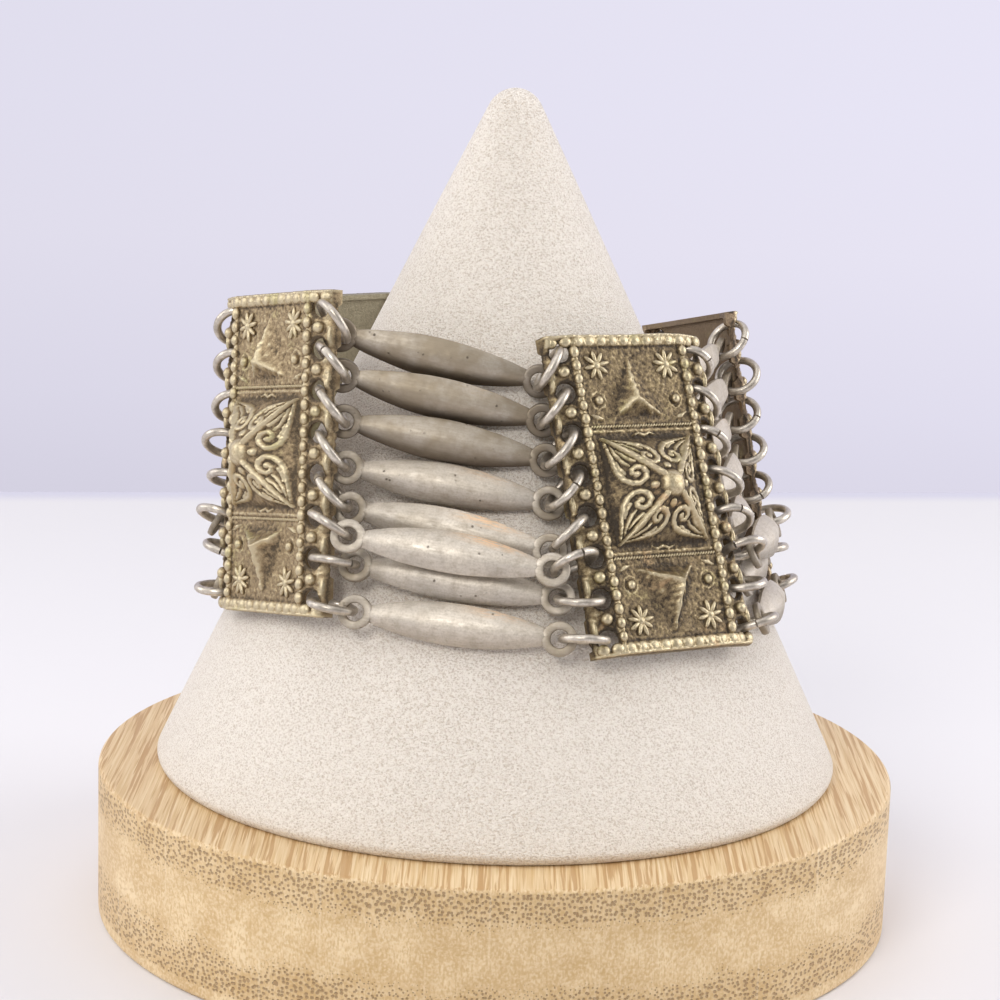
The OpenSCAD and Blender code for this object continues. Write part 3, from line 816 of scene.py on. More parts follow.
@dataclass
class Relief:
    """Raised work on the panel's grid of points, in millimetres above the flat sheet."""

    x: Array
    y: Array
    z: Array
    # Painted shade, with tarnish, in the creases round set-on parts and along the hole rims.
    crease_shade_and_tarnish: Array
    skin: Array
    raised: Array

    def window(self, x0: float, x1: float, y0: float, y1: float) -> Array:
        """Which points lie within a rectangle."""
        return (self.x > x0) & (self.x < x1) & (self.y > y0) & (self.y < y1)

    def blend_up(self, where: Array, height: Array, soft: float) -> None:
        """Raises the surface to a height with a soft foot.

        Args:
            where: The points to raise.
            height: The new height at those points.
            soft: Width of the soft foot.
        """
        old = self.z[where]
        overlap = np.clip(soft - np.abs(old - height), 0, None) / soft
        self.z[where] = np.maximum(old, height) + overlap ** 2 * soft / 4

    def stroke(self, points: Sequence[Dot], widths: Sequence[float],
               height: float, layer: Array) -> None:
        """Draws a rounded ridge along a line of points.

        Args:
            points: The line.
            widths: Half the ridge's width at each point.
            height: The ridge's height.
            layer: The layer that takes the ridge.
        """
        pts = np.array(points, float)
        reach = max(widths) + 0.05
        where = self.window(pts[:, 0].min() - reach, pts[:, 0].max() + reach,
                            pts[:, 1].min() - reach, pts[:, 1].max() + reach)
        x, y = self.x[where], self.y[where]
        best = np.zeros(x.shape)
        for (ax, ay), (bx, by), wa, wb in zip(pts[:-1], pts[1:], widths[:-1], widths[1:]):
            dx, dy = bx - ax, by - ay
            t = np.clip(((x - ax) * dx + (y - ay) * dy) / (dx * dx + dy * dy), 0, 1)
            d = np.hypot(x - ax - t * dx, y - ay - t * dy) / (wa + t * (wb - wa))
            best = np.maximum(best, np.sqrt(np.clip(1 - d * d, 0, 1)))
        layer[where] = np.maximum(layer[where], best * height)

    def dome(self, at: Dot, radius: float, height: float, layer: Array) -> None:
        """A round knob."""
        where = self.window(at[0] - radius, at[0] + radius, at[1] - radius, at[1] + radius)
        d = np.hypot(self.x[where] - at[0], self.y[where] - at[1]) / radius
        layer[where] = np.maximum(layer[where], height * np.sqrt(np.clip(1 - d * d, 0, 1)))

    def pyramid(self, corners: Sequence[Dot], apex: Dot,
                height: float, hollow: float) -> Array:
        """The height of a three sided pyramid with hollow faces and straight ridges.

        Args:
            corners: Its foot, counter-clockwise.
            apex: Where its tip stands.
            height: The tip's height.
            hollow: How far the faces sink between the ridges, as a share of the height.

        Returns:
            Its height at every point.
        """
        shares = []
        for (ax, ay), (bx, by) in zip(corners, [*corners[1:], corners[0]]):
            nx, ny = ay - by, bx - ax
            reach = (apex[0] - ax) * nx + (apex[1] - ay) * ny
            shares.append(((self.x - ax) * nx + (self.y - ay) * ny) / reach)
        low, mid, _ = np.sort(np.array(shares), axis=0)
        low, mid = np.clip(low, 0, None), np.clip(mid, 1e-6, None)
        return height * low * (1 - hollow * (1 - low / mid))

    def shadow(self, at: Dot, rx: float, ry: float, depth: float = 0.15) -> None:
        """Paints shade, with tarnish, into the crease round a part that is set on the sheet."""
        where = self.window(at[0] - rx - 0.7, at[0] + rx + 0.7, at[1] - ry - 0.7, at[1] + ry + 0.7)
        d = np.hypot((self.x[where] - at[0]) / rx, (self.y[where] - at[1]) / ry)
        ring = depth * np.exp(-((d - 1.0) / 0.3) ** 2)
        self.crease_shade_and_tarnish[where] = np.maximum(self.crease_shade_and_tarnish[where], ring)


def blurred(grid: Array, sigma: float) -> Array:
    """A grid softened over so many of its steps."""
    reach = int(3 * sigma)
    weights = np.exp(-0.5 * (np.arange(-reach, reach + 1) / sigma) ** 2)
    weights /= weights.sum()
    for axis in (0, 1):
        padded = np.pad(grid, [(reach, reach) if a == axis else (0, 0) for a in (0, 1)], mode="edge")
        size = grid.shape[axis]
        grid = sum(w * (padded[i:i + size] if axis == 0 else padded[:, i:i + size])
                   for i, w in enumerate(weights))
    return grid


@dataclass(frozen=True)
class Grain:
    """One ellipsoid of the raised work: a bead, a rib, a rope strand or a star's ray."""

    at: Triple
    half: Triple
    turn: float = 0.0
    wing: float = 0.0


@dataclass(frozen=True)
class Peak:
    """One three sided pyramid of the relief: its foot, where its tip stands and how high."""

    foot: tuple[Dot, Dot, Dot]
    apex: Dot
    height: float


@dataclass
class StampedPanel:
    """A stamped relief panel with folded back sides, link holes and turned down edges."""

    seat: Seat
    finish: TarnishedNickel
    step: float = 0.1
    detail: int = 3
    seed: int = 1
    width: float = 21.0
    height: float = 34.0
    flat: float = 7.2
    fold: float = 18.0
    sheet: float = PANEL_SHEET
    wall: float = 0.6
    edge: float = 1.3
    least_edge: float = 0.72
    notches_end: float = 16.2
    notch_shift: float = 1.28
    lobe_half: float = 1.35
    lobe_soft: float = 0.35
    mound: Dot = (5.9, 5.8)
    mound_core: float = 1.15
    mound_rise: float = 3.7
    mound_swell: float = 0.82
    boss_half: float = 1.62
    boss_foot: float = 2.6
    boss_top: float = 4.4
    boss_knobs: float = 2.0
    stud: Dot = (5.1, 9.8)
    star_at: Dot = (4.6, 13.6)
    shift: float = 0.0
    holes: LinkHoles = PANEL_HOLES
    ridge: float = 0.34
    peaks: tuple[Peak, ...] = (
        Peak(((-3.5, 7.85), (3.3, 8.0), (-0.35, 14.7)), (-1.0, 9.7), 1.95),
        Peak(((3.5, -8.1), (-4.2, -8.1), (-0.2, -15.2)), (0.5, -9.9), 2.4))
    rib: tuple[Dot, ...] = ((5.75, 5.65), (4.2, 4.25), (2.6, 2.65), (1.1, 1.15))
    curl: tuple[Dot, ...] = (
        (5.35, 5.05), (5.2, 4.2), (5.05, 3.3), (4.9, 2.45), (4.7, 1.65), (4.3, 0.95), (3.75, 0.5),
        (3.1, 0.42), (2.6, 0.8), (2.42, 1.4), (2.7, 1.95), (3.2, 2.15), (3.6, 1.9), (3.62, 1.5))
    veins: tuple[tuple[Dot, ...], ...] = (
        ((5.0, 4.55), (4.7, 3.7), (4.2, 2.75), (3.75, 2.3)),
        ((4.6, 4.1), (4.0, 3.35), (3.3, 2.75)),
        ((4.75, 2.95), (4.55, 2.2), (4.2, 1.6)))

    def base(self, x: Array) -> Array:
        """Height of the plain folded sheet."""
        return -np.clip(np.abs(x - self.shift) - self.flat, 0, None) * math.tan(math.radians(self.fold))

    def lobe(self, y: Array) -> Array:
        """1 where the turned down side stands full, 0 in the notch that a ring passes."""
        p = self.holes.pitch
        along = np.abs((y / p + 0.5 - self.notch_shift / p + 0.5) % 1.0 - 0.5) * p
        return np.clip((self.lobe_half - along) / self.lobe_soft, 0, 1)

    def emboss(self, x: Array, y: Array) -> Relief:
        """Raises the sheet's own work: fields, pyramids, mound, boss and curls."""
        rng = np.random.default_rng(self.seed)
        r = Relief(x, y, *(np.zeros(x.shape) for _ in range(4)))
        ground = blurred(rng.normal(size=x.shape), 0.11 / self.step)
        wave = blurred(rng.normal(size=x.shape), 1.4 / self.step)
        r.z += 0.04 * ground / ground.std() + 0.05 * wave / wave.std()
        r.skin = 0.04 * ground / ground.std()
        lumps = blurred(rng.normal(size=x.shape), 0.2 / self.step)
        lumps *= 0.055 / lumps.std()
        for peak in self.peaks:
            rise = blurred(r.pyramid(peak.foot, peak.apex, peak.height, 0.5), 0.1 / self.step)
            r.z += rise + lumps * (rise > 0.1)
            r.crease_shade_and_tarnish -= 0.14 * np.clip(rise / 0.9, 0, 1)
        (mx, my), core = self.mound, self.mound_core
        share = np.clip(np.minimum((mx - np.abs(x)) / (mx - core), (my - np.abs(y)) / (my - core)), 0, 1)
        where = share > 0
        r.blend_up(where, self.mound_rise * share[where] ** self.mound_swell - 0.1 + r.skin[where], 0.1)
        work = np.zeros(x.shape)
        for qx in (-1, 1):
            for qy in (-1, 1):
                rib = [(qx * u, qy * v) for u, v in self.rib]
                r.stroke(rib, (0.12, 0.3, 0.37, 0.36), 0.5, work)
                for swap in (False, True):
                    self.fan(r, work, qx, qy, swap)
        for qx, qy in ((1, 0), (-1, 0), (0, 1), (0, -1)):
            r.dome((qx * self.boss_knobs, qy * self.boss_knobs), 0.42, 0.42, work)
        for side in (-1, 1):
            self.field_lines(r, work, side)
            r.stroke([(side * self.flat, -15.5), (side * self.flat, 15.5)], (0.42, 0.42), 0.2, work)
        r.z += work
        r.raised = work
        where = (np.abs(x) < 1.7) & (np.abs(y) < 1.7)
        bulge = np.clip(1 - (np.abs(x[where] / self.boss_half) ** 2.6
                             + np.abs(y[where] / self.boss_half) ** 2.6), 0, 1)
        rise = (self.boss_top - self.boss_foot) * bulge ** 0.5
        r.blend_up(where, self.boss_foot + rise - 2.0 * (bulge <= 0), 0.2)
        return r

    def fan(self, r: Relief, work: Array, qx: int, qy: int, swap: bool) -> None:
        """One leaf of veins with its curl, in one eighth of the mound.

        Args:
            r: The relief.
            work: The layer of raised lines.
            qx: The corner's side.
            qy: The corner's upper or lower end.
            swap: Whether the curl lies on the face above or below the corner's rib.
        """
        def spot(u: float, v: float) -> Dot:
            """A point of the eighth on the panel."""
            x, y = (qx * v, qy * u) if swap else (qx * u, qy * v)
            return x * self.mound[0] / 5.6, y * self.mound[1] / 5.7

        line = [spot(u, v) for u, v in self.curl]
        widths = [0.08, 0.13, 0.18, 0.23, 0.27, 0.29, 0.29, 0.29, 0.29, 0.28, 0.27, 0.26, 0.23, 0.18]
        r.stroke(line, widths, self.ridge, work)
        r.dome(spot(3.25, 1.35), 0.34, 0.36, work)
        for vein in self.veins:
            taper = (0.08, 0.17, 0.18, 0.1)[:len(vein)]
            r.stroke([spot(u, v) for u, v in vein], taper, self.ridge * 0.8, work)

    def field_lines(self, r: Relief, work: Array, side: int) -> None:
        """The plain lines of the upper or the lower field."""
        for reach, y, width, high in ((6.6, 6.5, 0.16, 0.09), (10.2, 16.82, 0.24, 0.36),
                                      (10.3, 16.3, 0.62, 0.26)):
            r.stroke([(-reach, side * y), (reach, side * y)], (width, width), high, work)
        scallop = [(x, side * y) for x, y in ((-1.5, 5.95), (-0.7, 6.2), (0.0, 5.9), (0.7, 6.2), (1.5, 5.95))]
        r.stroke(scallop, (0.08, 0.16, 0.2, 0.16, 0.08), 0.2, work)
        turns = [a / 4 * math.pi for a in range(9)]
        (sx, sy), collar = self.stud, 0.95
        for q in (-1, 1):
            circle = [(q * sx + collar * math.cos(a), side * sy + collar * math.sin(a)) for a in turns]
            r.stroke(circle, [0.12] * len(circle), 0.07, work)
            leaf = [(q * 6.2, side * 8.3), (q * 5.5, side * 7.95), (q * 4.7, side * 7.75)]
            r.stroke(leaf, (0.08, 0.26, 0.06), 0.26, work)

    def grains(self) -> list[Grain]:
        """Beads, ribs, rope strands and stars, each one ellipsoid."""
        found = []
        beads, h = 22, self.holes
        bead_pitch = (self.height - 2.2 - 0.95) / (beads - 0.5)
        for side in (-1, 1):
            for i, y in enumerate(spaced(beads, bead_pitch)):
                half = 0.54 + 0.045 * math.sin(7.3 * i + side)
                found.append(Grain((self.shift + side * self.flat, y, 0.06), (half, half + 0.1, 0.46)))
            for y in spaced(h.count - 1, h.pitch):
                found.append(Grain((side * h.across, y, -0.46), (0.66, 0.66, 0.62), 0, side))
            for y in spaced(h.count, h.pitch):
                if y + self.notch_shift < self.notches_end:
                    found.append(Grain((side * 10.13, y + self.notch_shift, -1.36),
                                       (0.36, 1.2, 0.62), 0, side * 0.4))
            for x in spaced(14, 1.5):
                wing = math.copysign(1, x) if abs(x - self.shift) > self.flat else 0.0
                z = float(self.base(np.array(x)))
                found.append(Grain((x, side * 16.28, z - 0.05), (0.74, 0.66, 0.42), 0, wing))
            for x in spaced(38, 0.355):
                found.append(Grain((self.shift + x, side * 7.0, 0.02), (0.27, 0.12, 0.17), 42))
            for q in (-1, 1):
                (star_x, star_y), (stud_x, stud_y) = self.star_at, self.stud
                found += self.star(self.shift + q * star_x, side * star_y, 9 if side * q > 0 else 8)
                found.append(Grain((self.shift + q * stud_x, side * stud_y, 0.1), (0.52, 0.52, 0.46)))
        return found

    def star(self, x: float, y: float, rays: int) -> list[Grain]:
        """A star of pointed rays round a small hub."""
        found = [Grain((x, y, 0.05), (0.52, 0.52, 0.37))]
        for i in range(rays):
            a = 2 * math.pi * (i + 0.25) / rays
            reach = 0.92 + 0.08 * math.sin(5 * a + x)
            found.append(Grain((x + reach * math.cos(a), y + reach * math.sin(a), 0.05),
                               (0.76, 0.27, 0.30), math.degrees(a)))
        return found

    def build(self, tree: Sprout) -> bpy.types.Object:
        """Makes the whole panel.

        Args:
            tree: The tree that sets the grains on the sheet.

        Returns:
            The finished piece, riding in place of its CAD node.
        """
        place, grains = self.seat.place, self.grains()
        mesh = bpy.data.meshes.new(self.seat.name)
        points, faces, wear, plain = self.shell(grains)
        mesh.from_pydata(place.to_scene(points).tolist(), [], faces)
        attach(mesh, "wear", wear)
        attach(mesh, "plain", plain)
        cloud = self.grain_points(place, grains)
        piece = tree.grow(show(self.seat.name + "_sheet", mesh), self.seat.name + "_relief", {
            "Grains": cloud, "Grain Detail": self.detail,
            "Material": self.finish.material(self.seat.name + "_nickel")})
        discard(cloud)
        piece.data.set_sharp_from_angle(angle=math.radians(62))
        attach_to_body(piece, "root")
        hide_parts(self.seat.name)
        return piece

    def grain_points(self, place: Place, grains: Sequence[Grain]) -> bpy.types.Object:
        """The points that carry the grains."""
        places, sizes = [], []
        for g in grains:
            a = math.radians(self.fold) * g.wing
            out = place.out * math.cos(a) + place.right * math.sin(a)
            level = place.right * math.cos(a) - place.out * math.sin(a)
            right, up = turned(level, place.up, g.turn)
            places.append(Place(right, up, out, place.to_scene(np.array(g.at)) / MM))
            sizes.append([h * MM for h in g.half])
        return point_cloud(self.seat.name + "_grains", places, size=sizes)

    def shell(self, grains: Sequence[Grain]) -> tuple[Array, list[list[int]], Array, Array]:
        """The closed sheet with its holes and turned down edges.

        Args:
            grains: The parts set on it, for the dark creases round them.

        Returns:
            Points in local millimetres, faces, the wear with painted crease shade at each point, and 1 at
            each plain one.
        """
        nx, ny = round(self.width / self.step) + 1, round(self.height / self.step) + 1
        x, y = np.meshgrid(np.linspace(-0.5, 0.5, nx) * self.width, np.linspace(-0.5, 0.5, ny) * self.height)
        tilt = math.radians(self.fold)
        rx, ry = self.holes.radius * math.cos(tilt), self.holes.radius
        centres = [(side * self.holes.across, self.holes.height(i))
                   for side in (-1, 1) for i in range(self.holes.count)]
        mid_x, mid_y = (x[:-1, :-1] + x[1:, 1:]) / 2, (y[:-1, :-1] + y[1:, 1:]) / 2
        gone = np.zeros(mid_x.shape, bool)
        for cx, cy in centres:
            gone |= ((mid_x - cx) / rx) ** 2 + ((mid_y - cy) / ry) ** 2 < 1
        padded = np.pad(gone, 1, constant_values=False)
        corners = [padded[:-1, :-1], padded[1:, :-1], padded[:-1, 1:], padded[1:, 1:]]
        cut, all_cut = np.any(corners, axis=0), np.all(corners, axis=0)
        rims = []
        for cx, cy in centres:
            rho = np.hypot((x - cx) / rx, (y - cy) / ry)
            rows, cols = np.nonzero(cut & ~all_cut & (rho < 1.5))
            angle = np.arctan2((y[rows, cols] - cy) / ry, (x[rows, cols] - cx) / rx)
            order = np.argsort(angle)
            rows, cols = rows[order], cols[order]
            x[rows, cols] = cx + (x[rows, cols] - cx) / rho[rows, cols]
            y[rows, cols] = cy + (y[rows, cols] - cy) / rho[rows, cols]
            rims.append((rows, cols, math.copysign(1, cx)))
        relief = self.emboss(x - self.shift, y)
        # A dip round each hole, with painted shade and tarnish along its rim.
        for cx, cy in centres:
            rho = np.hypot((x - cx) / rx, (y - cy) / ry)
            relief.z -= 0.16 * np.exp(-((rho - 1.0) / 0.16) ** 2)
            relief.crease_shade_and_tarnish = np.maximum(relief.crease_shade_and_tarnish, 0.5 * np.exp(-((rho - 1.0) / 0.28) ** 2))
        # Painted shade, with tarnish, in the crease round each set-on part.
        for g in grains:
            a = math.radians(g.turn)
            relief.shadow((g.at[0] - self.shift, g.at[1]), g.half[0] * abs(math.cos(a)) + 0.12,
                          g.half[1] + g.half[0] * abs(math.sin(a)) * 0.6)
        side = np.abs(x) - self.width / 2
        end = np.abs(y) - self.height / 2
        for gap, radius in ((side, 0.5), (end, 0.25)):
            run = np.clip(gap + radius, 0, radius)
            relief.z -= radius - np.sqrt(np.clip(radius ** 2 - run ** 2, 0, None))
        relief.z -= 0.3 * (1 - self.lobe(y)) * np.clip((side + 0.7) / 0.5, 0, 1)
        calm = relief.z - 0.4 * relief.skin
        fine = calm - blurred(calm, 0.28 / self.step)
        wide = calm - blurred(calm, 1.0 / self.step)
        # Tarnish in recesses, rubbing on raised work, less the painted crease shade.
        wear = 0.38 + 2.4 * fine + 0.5 * wide - relief.crease_shade_and_tarnish + 0.42 * np.clip(relief.raised / 0.3, 0, 1)
        wear = np.clip(wear, 0, 1)
        z = self.base(x) + relief.z
        ids = np.full(x.shape, -1)
        used = ~all_cut
        ids[used] = np.arange(used.sum())
        points = [np.stack([x[used], y[used], z[used]], 1)]
        a, b, c, d = ids[:-1, :-1], ids[:-1, 1:], ids[1:, 1:], ids[1:, :-1]
        faces = np.stack([a[~gone], b[~gone], c[~gone], d[~gone]], 1).tolist()
        back = Backing(self, points[0], ids, rims)
        extra, more_faces = back.build()
        points.append(extra)
        wears = np.concatenate([wear[used], np.where(extra[:, 2] < self.base(extra[:, 0]) - 0.9, 0.5, 0.47)])
        plain = np.arange(len(wears)) >= used.sum()
        return np.concatenate(points), faces + more_faces, wears, plain


@dataclass
class Backing:
    """The turned down edges, hole walls and underside that close a panel's sheet."""

    panel: StampedPanel
    top: Array
    ids: Array
    rims: list[tuple[Array, Array, float]]
    points: list[Triple] = field(default_factory=list)
    known: dict[Triple, int] = field(default_factory=dict)
    faces: list[list[int]] = field(default_factory=list)

    def point(self, x: float, y: float, z: float) -> int:
        """The number of a point, added once."""
        key = (round(x, 4), round(y, 4), round(z, 4))
        if key not in self.known:
            self.known[key] = len(self.top) + len(self.points)
            self.points.append((x, y, z))
        return self.known[key]

    def face(self, *corners: int) -> None:
        """Adds a face without its doubled corners."""
        kept = [c for i, c in enumerate(corners) if c != corners[i - 1]]
        if len(set(kept)) > 2:
            self.faces.append(kept)

    def under(self, x: float) -> float:
        """Height of the sheet's underside."""
        return float(self.panel.base(np.array(x))) - self.panel.sheet

    def build(self) -> tuple[Array, list[list[int]]]:
        """Adds every face below the sheet's top.

        Returns:
            The added points and all faces.
        """
        inner = self.edges()
        rims = [self.bore(rows, cols, side) for rows, cols, side in self.rims]
        self.floor(inner, rims)
        return np.array(self.points), self.faces

    def edges(self) -> list[int]:
        """The turned down edges.

        Returns:
            The loop where they meet the underside.
        """
        p, ids = self.panel, self.ids
        loop = [*ids[0, :-1], *ids[:-1, -1], *ids[-1, :0:-1], *ids[:0:-1, 0]]
        half_w, half_h = p.width / 2, p.height / 2
        rows = []
        for i in loop:
            x, y, _ = self.top[i]
            xi = min(max(x, p.wall - half_w), half_w - p.wall)
            yi = min(max(y, p.wall - half_h), half_h - p.wall)
            on_side = abs(x) > half_w - 1e-6 and abs(y) < half_h - p.wall
            full = float(p.lobe(np.array(y))) if on_side and abs(y) < p.notches_end else 1.0
            drop = p.least_edge + (p.edge - p.least_edge) * full
            low = float(p.base(np.array(x))) - drop
            low_in = low if on_side else float(p.base(np.array(xi))) - p.edge
            inner_low = min(low_in, self.under(xi) - 0.02)
            rows.append((int(i), self.point(x, y, low), self.point(xi, yi, inner_low),
                         self.point(xi, yi, self.under(xi))))
        for (t0, o0, b0, u0), (t1, o1, b1, u1) in zip(rows, [*rows[1:], rows[0]]):
            self.face(t0, o0, o1, t1)
            self.face(o0, b0, b1, o1)
            self.face(b0, u0, u1, b1)
        ring = [r[3] for r in rows]
        return [u for i, u in enumerate(ring) if u != ring[i - 1]]

    def bore(self, rows: Array, cols: Array, side: float) -> list[int]:
        """The wall of one link hole.

        Args:
            rows: Grid rows of its rim.
            cols: Grid columns of its rim.
            side: -1 on the left, 1 on the right.

        Returns:
            The rim on the underside.
        """
        tilt = math.radians(self.panel.fold)
        deep = self.panel.sheet * math.cos(tilt)
        rim = [int(i) for i in self.ids[rows, cols]]
        low = []
        for i in rim:
            x, y, _ = self.top[i]
            x -= side * deep * math.sin(tilt)
            low.append(self.point(x, y, self.under(x)))
        for i, j in enumerate(rim):
            self.face(rim[i - 1], j, low[i], low[i - 1])
        return low

    def floor(self, inner: list[int], rims: list[list[int]]) -> None:
        """The underside, between the edges and round the holes."""
        first, panel, holes, per_fold = len(self.top), self.panel, self.panel.holes, 33
        folds = [self.point(panel.shift + side * panel.flat, y, -panel.sheet)
                 for side in (-1, 1) for y in np.linspace(-16, 16, per_fold)]
        use = [*inner, *(i for rim in rims for i in rim), *folds]
        where = {i: k for k, i in enumerate(use)}
        flat = [Vector(self.points[i - first][:2]) for i in use]
        edges = []
        for loop in [inner, *rims]:
            edges += [(where[loop[i - 1]], where[j]) for i, j in enumerate(loop)]
        for line in (folds[:per_fold], folds[per_fold:]):
            edges += [(where[a], where[b]) for a, b in zip(line[:-1], line[1:])]
        _, _, tris, origin, _, _ = delaunay_2d_cdt(flat, edges, [], 1, 1e-7)
        tilt = math.radians(panel.fold)
        rx = holes.radius * math.cos(tilt)
        shift = panel.sheet * math.cos(tilt) * math.sin(tilt)
        for tri in tris:
            real = [use[origin[k][0]] for k in tri]
            cx, cy = np.mean([self.points[i - first][:2] for i in real], axis=0)
            inside = any(((cx - s * (holes.across - shift)) / rx) ** 2
                         + ((cy - holes.height(i)) / holes.radius) ** 2 < 0.995
                         for s in (-1, 1) for i in range(holes.count))
            if not inside:
                self.face(*reversed(real))


def grain_tree() -> Sprout:
    """The tree that sets beads, ribs, strands and rays on a sheet of metal."""
    g = Sprout("Stamped grains", {
        "Grains": ("Object", None), "Grain Detail": ("Int", 3), "Strand Detail": ("Int", 2),
        "Strand Height": ("Float", 0.25 * MM), "Foot Wear": ("Float", 0.28), "Top Wear": ("Float", 0.9),
        "Material": ("Material", None)})
    points = g.node("GeometryNodeObjectInfo", {"Object": g.given["Grains"]}).outputs["Geometry"]
    height = g.node("ShaderNodeSeparateXYZ", {0: g.node("GeometryNodeInputPosition").outputs[0]}).outputs[2]
    wear = g.fit(height, 0.0, 0.75, g.given["Foot Wear"], g.given["Top Wear"])
    half_height = g.node("ShaderNodeSeparateXYZ", {0: g.named("size")}).outputs[2]
    strand = g.math("LESS_THAN", half_height, g.given["Strand Height"])
    joined = g.node("GeometryNodeJoinGeometry", {0: g.given["Geometry"]})
    for chosen, detail in ((g.math("SUBTRACT", 1.0, strand), "Grain Detail"), (strand, "Strand Detail")):
        ball = g.node("GeometryNodeMeshIcoSphere", {
            "Radius": 1.0, "Subdivisions": g.given[detail]}).outputs[0]
        ball = g.stored(ball, "wear", wear)
        set_on = g.set_on(points, ball, g.facing(), Selection=chosen, Scale=g.named("size"))
        g.tree.links.new(set_on, joined.inputs[0])
    g.end(joined.outputs[0])
    return g


# Bars and rings


@dataclass
class SpindleBar:
    """A flat spindle with a washer shaped eye at each end."""

    length: float = BAR_LENGTH
    body: float = 18.6
    width: float = 4.4
    thickness: float = 2.0
    back: float = BAR_BACK
    body_end: float = 9.0
    side_radius: float = 33.0
    crown_radius: float = 35.0
    eye_radius: float = 1.39
    eye_half: tuple[float, float] = (0.45, 0.36)
    stations: int = 35
    around: int = 20

    def pattern(self) -> bpy.types.Object:
        """The bar's own mesh, in metres about its middle, with its local millimetres stored."""
        points, faces = self.spindle()
        for side in (-1, 1):
            eye, eye_faces = self.eye(side)
            faces += [[i + len(points) for i in f] for f in eye_faces]
            points = np.concatenate([points, eye])
        mesh = bpy.data.meshes.new("bar_pattern")
        mesh.from_pydata((points * MM).tolist(), [], faces)
        attach(mesh, "local", points)
        x, y, z = points.T
        share = y / self.half_width(np.clip(x, -self.body_end, self.body_end))
        edge = np.clip((share - 0.5) / 0.3, 0, 1)
        along = np.exp(-((x - 4.0) / 3.0) ** 2)
        attach(mesh, "edge", edge * along * (z > -0.2))
        attach(mesh, "eye", np.clip(np.abs(x) - self.body_end, 0, 0.4) / 0.4)
        # Painted shade mask: full along the lower side of the body, half on the eyes.
        low = np.clip((-share - 0.2) / 0.55, 0, 1)
        attach(mesh, "under", np.where(np.abs(x) < self.body_end + 0.2, low, 0.55))
        return show("bar_pattern", mesh)

    def half_width(self, x: Array) -> Array:
        """Half the spindle's width along its length."""
        return self.width / 2 - self.side_radius + np.sqrt(self.side_radius ** 2 - x ** 2)

    def spindle(self) -> tuple[Array, list[list[int]]]:
        """The body between the eyes: rounded sides, a soft lengthwise ridge and a flat back."""
        t = np.linspace(-1, 1, self.stations)
        xs = np.sign(t) * np.abs(t) ** 0.92 * self.body / 2
        rows = []
        for x in xs:
            w = float(self.half_width(x))
            crown = self.crown_radius
            top = self.thickness - self.back - crown + math.sqrt(crown ** 2 - x * x)
            waist = -self.back + 0.42 * (top + self.back)
            for k in range(self.around):
                a = 2 * math.pi * k / self.around
                c, s = math.cos(a), math.sin(a)
                y = w * math.copysign(abs(c) ** 0.75, c)
                if s >= 0:
                    z = waist + (top - waist) * (1 - (abs(y) / w) ** 1.35) ** 0.85
                else:
                    z = waist - (waist + self.back) * abs(s) ** 0.55
                rows.append((x, y, z))
        points, n = np.array(rows), self.around
        faces = [[i * n + k, (i + 1) * n + k, (i + 1) * n + (k + 1) % n, i * n + (k + 1) % n]
                 for i in range(self.stations - 1) for k in range(n)]
        faces.append(list(range(n)))
        faces.append([(self.stations - 1) * n + k for k in reversed(range(n))])
        return points, faces

    def eye(self, side: int, steps: int = 32, section: int = 14) -> tuple[Array, list[list[int]]]:
        """One washer shaped eye.

        Args:
            side: -1 for the left end, 1 for the right.
            steps: Steps round the eye.
            section: Steps round its section.

        Returns:
            Points and faces.
        """
        half_r, half_z = self.eye_half
        points, faces = [], []
        for i in range(steps):
            a = 2 * math.pi * i / steps
            for k in range(section):
                b = 2 * math.pi * k / section
                r = self.eye_radius + half_r * math.copysign(abs(math.cos(b)) ** 0.45, math.cos(b))
                z = half_z * math.copysign(abs(math.sin(b)) ** 0.45, math.sin(b))
                points.append((side * self.length / 2 + r * math.cos(a), r * math.sin(a), z))
                j, m = (i + 1) % steps, (k + 1) % section
                faces.append([i * section + k, j * section + k, j * section + m, i * section + m])
        return np.array(points), faces


@dataclass
class LinkRow:
    """The bars of one section, and the look of each."""

    section: Section
    tones: tuple[float, ...]
    coppers: tuple[float, ...]

    def build(self, tree: Sprout, pattern: bpy.types.Object, metal: bpy.types.Material) -> bpy.types.Object:
        """Makes the row's bars.

        Args:
            tree: The tree that hangs the bars.
            pattern: The bar's own mesh.
            metal: The bars' finish.

        Returns:
            The finished piece, riding in place of its CAD nodes.
        """
        name, places = f"bars_{self.section.name}", self.section.bars
        rng = np.random.default_rng(sum(map(ord, name)))
        shift = rng.uniform(-500, 500, (len(places), 3))
        cloud = point_cloud(name + "_points", places, tone=self.tones, glow=self.coppers, shift=shift)
        piece = tree.grow(cloud, name + "_dressed", {"Bar": pattern, "Material": metal})
        piece.data.set_sharp_from_angle(angle=math.radians(50))
        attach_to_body(piece, "root")
        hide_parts(*(f"bar_{self.section.name}_{i + 1}" for i in range(8)))
        return piece


def bar_tree() -> Sprout:
    """The tree that hangs the bars on their points."""
    g = Sprout("Hanging bars", {
        "Bar": ("Object", None), "Unevenness": ("Float", 0.17 * MM), "Material": ("Material", None)})
    bar = g.node("GeometryNodeObjectInfo", {"Object": g.given["Bar"]}).outputs["Geometry"]
    hung = g.uneven(g.set_on(g.given["Geometry"], bar, g.facing()), 230.0, g.given["Unevenness"])
    copper = g.math("MULTIPLY", g.named("edge", "FLOAT"), g.named("glow", "FLOAT"))
    g.end(g.stored(hung, "copper", copper))
    return g


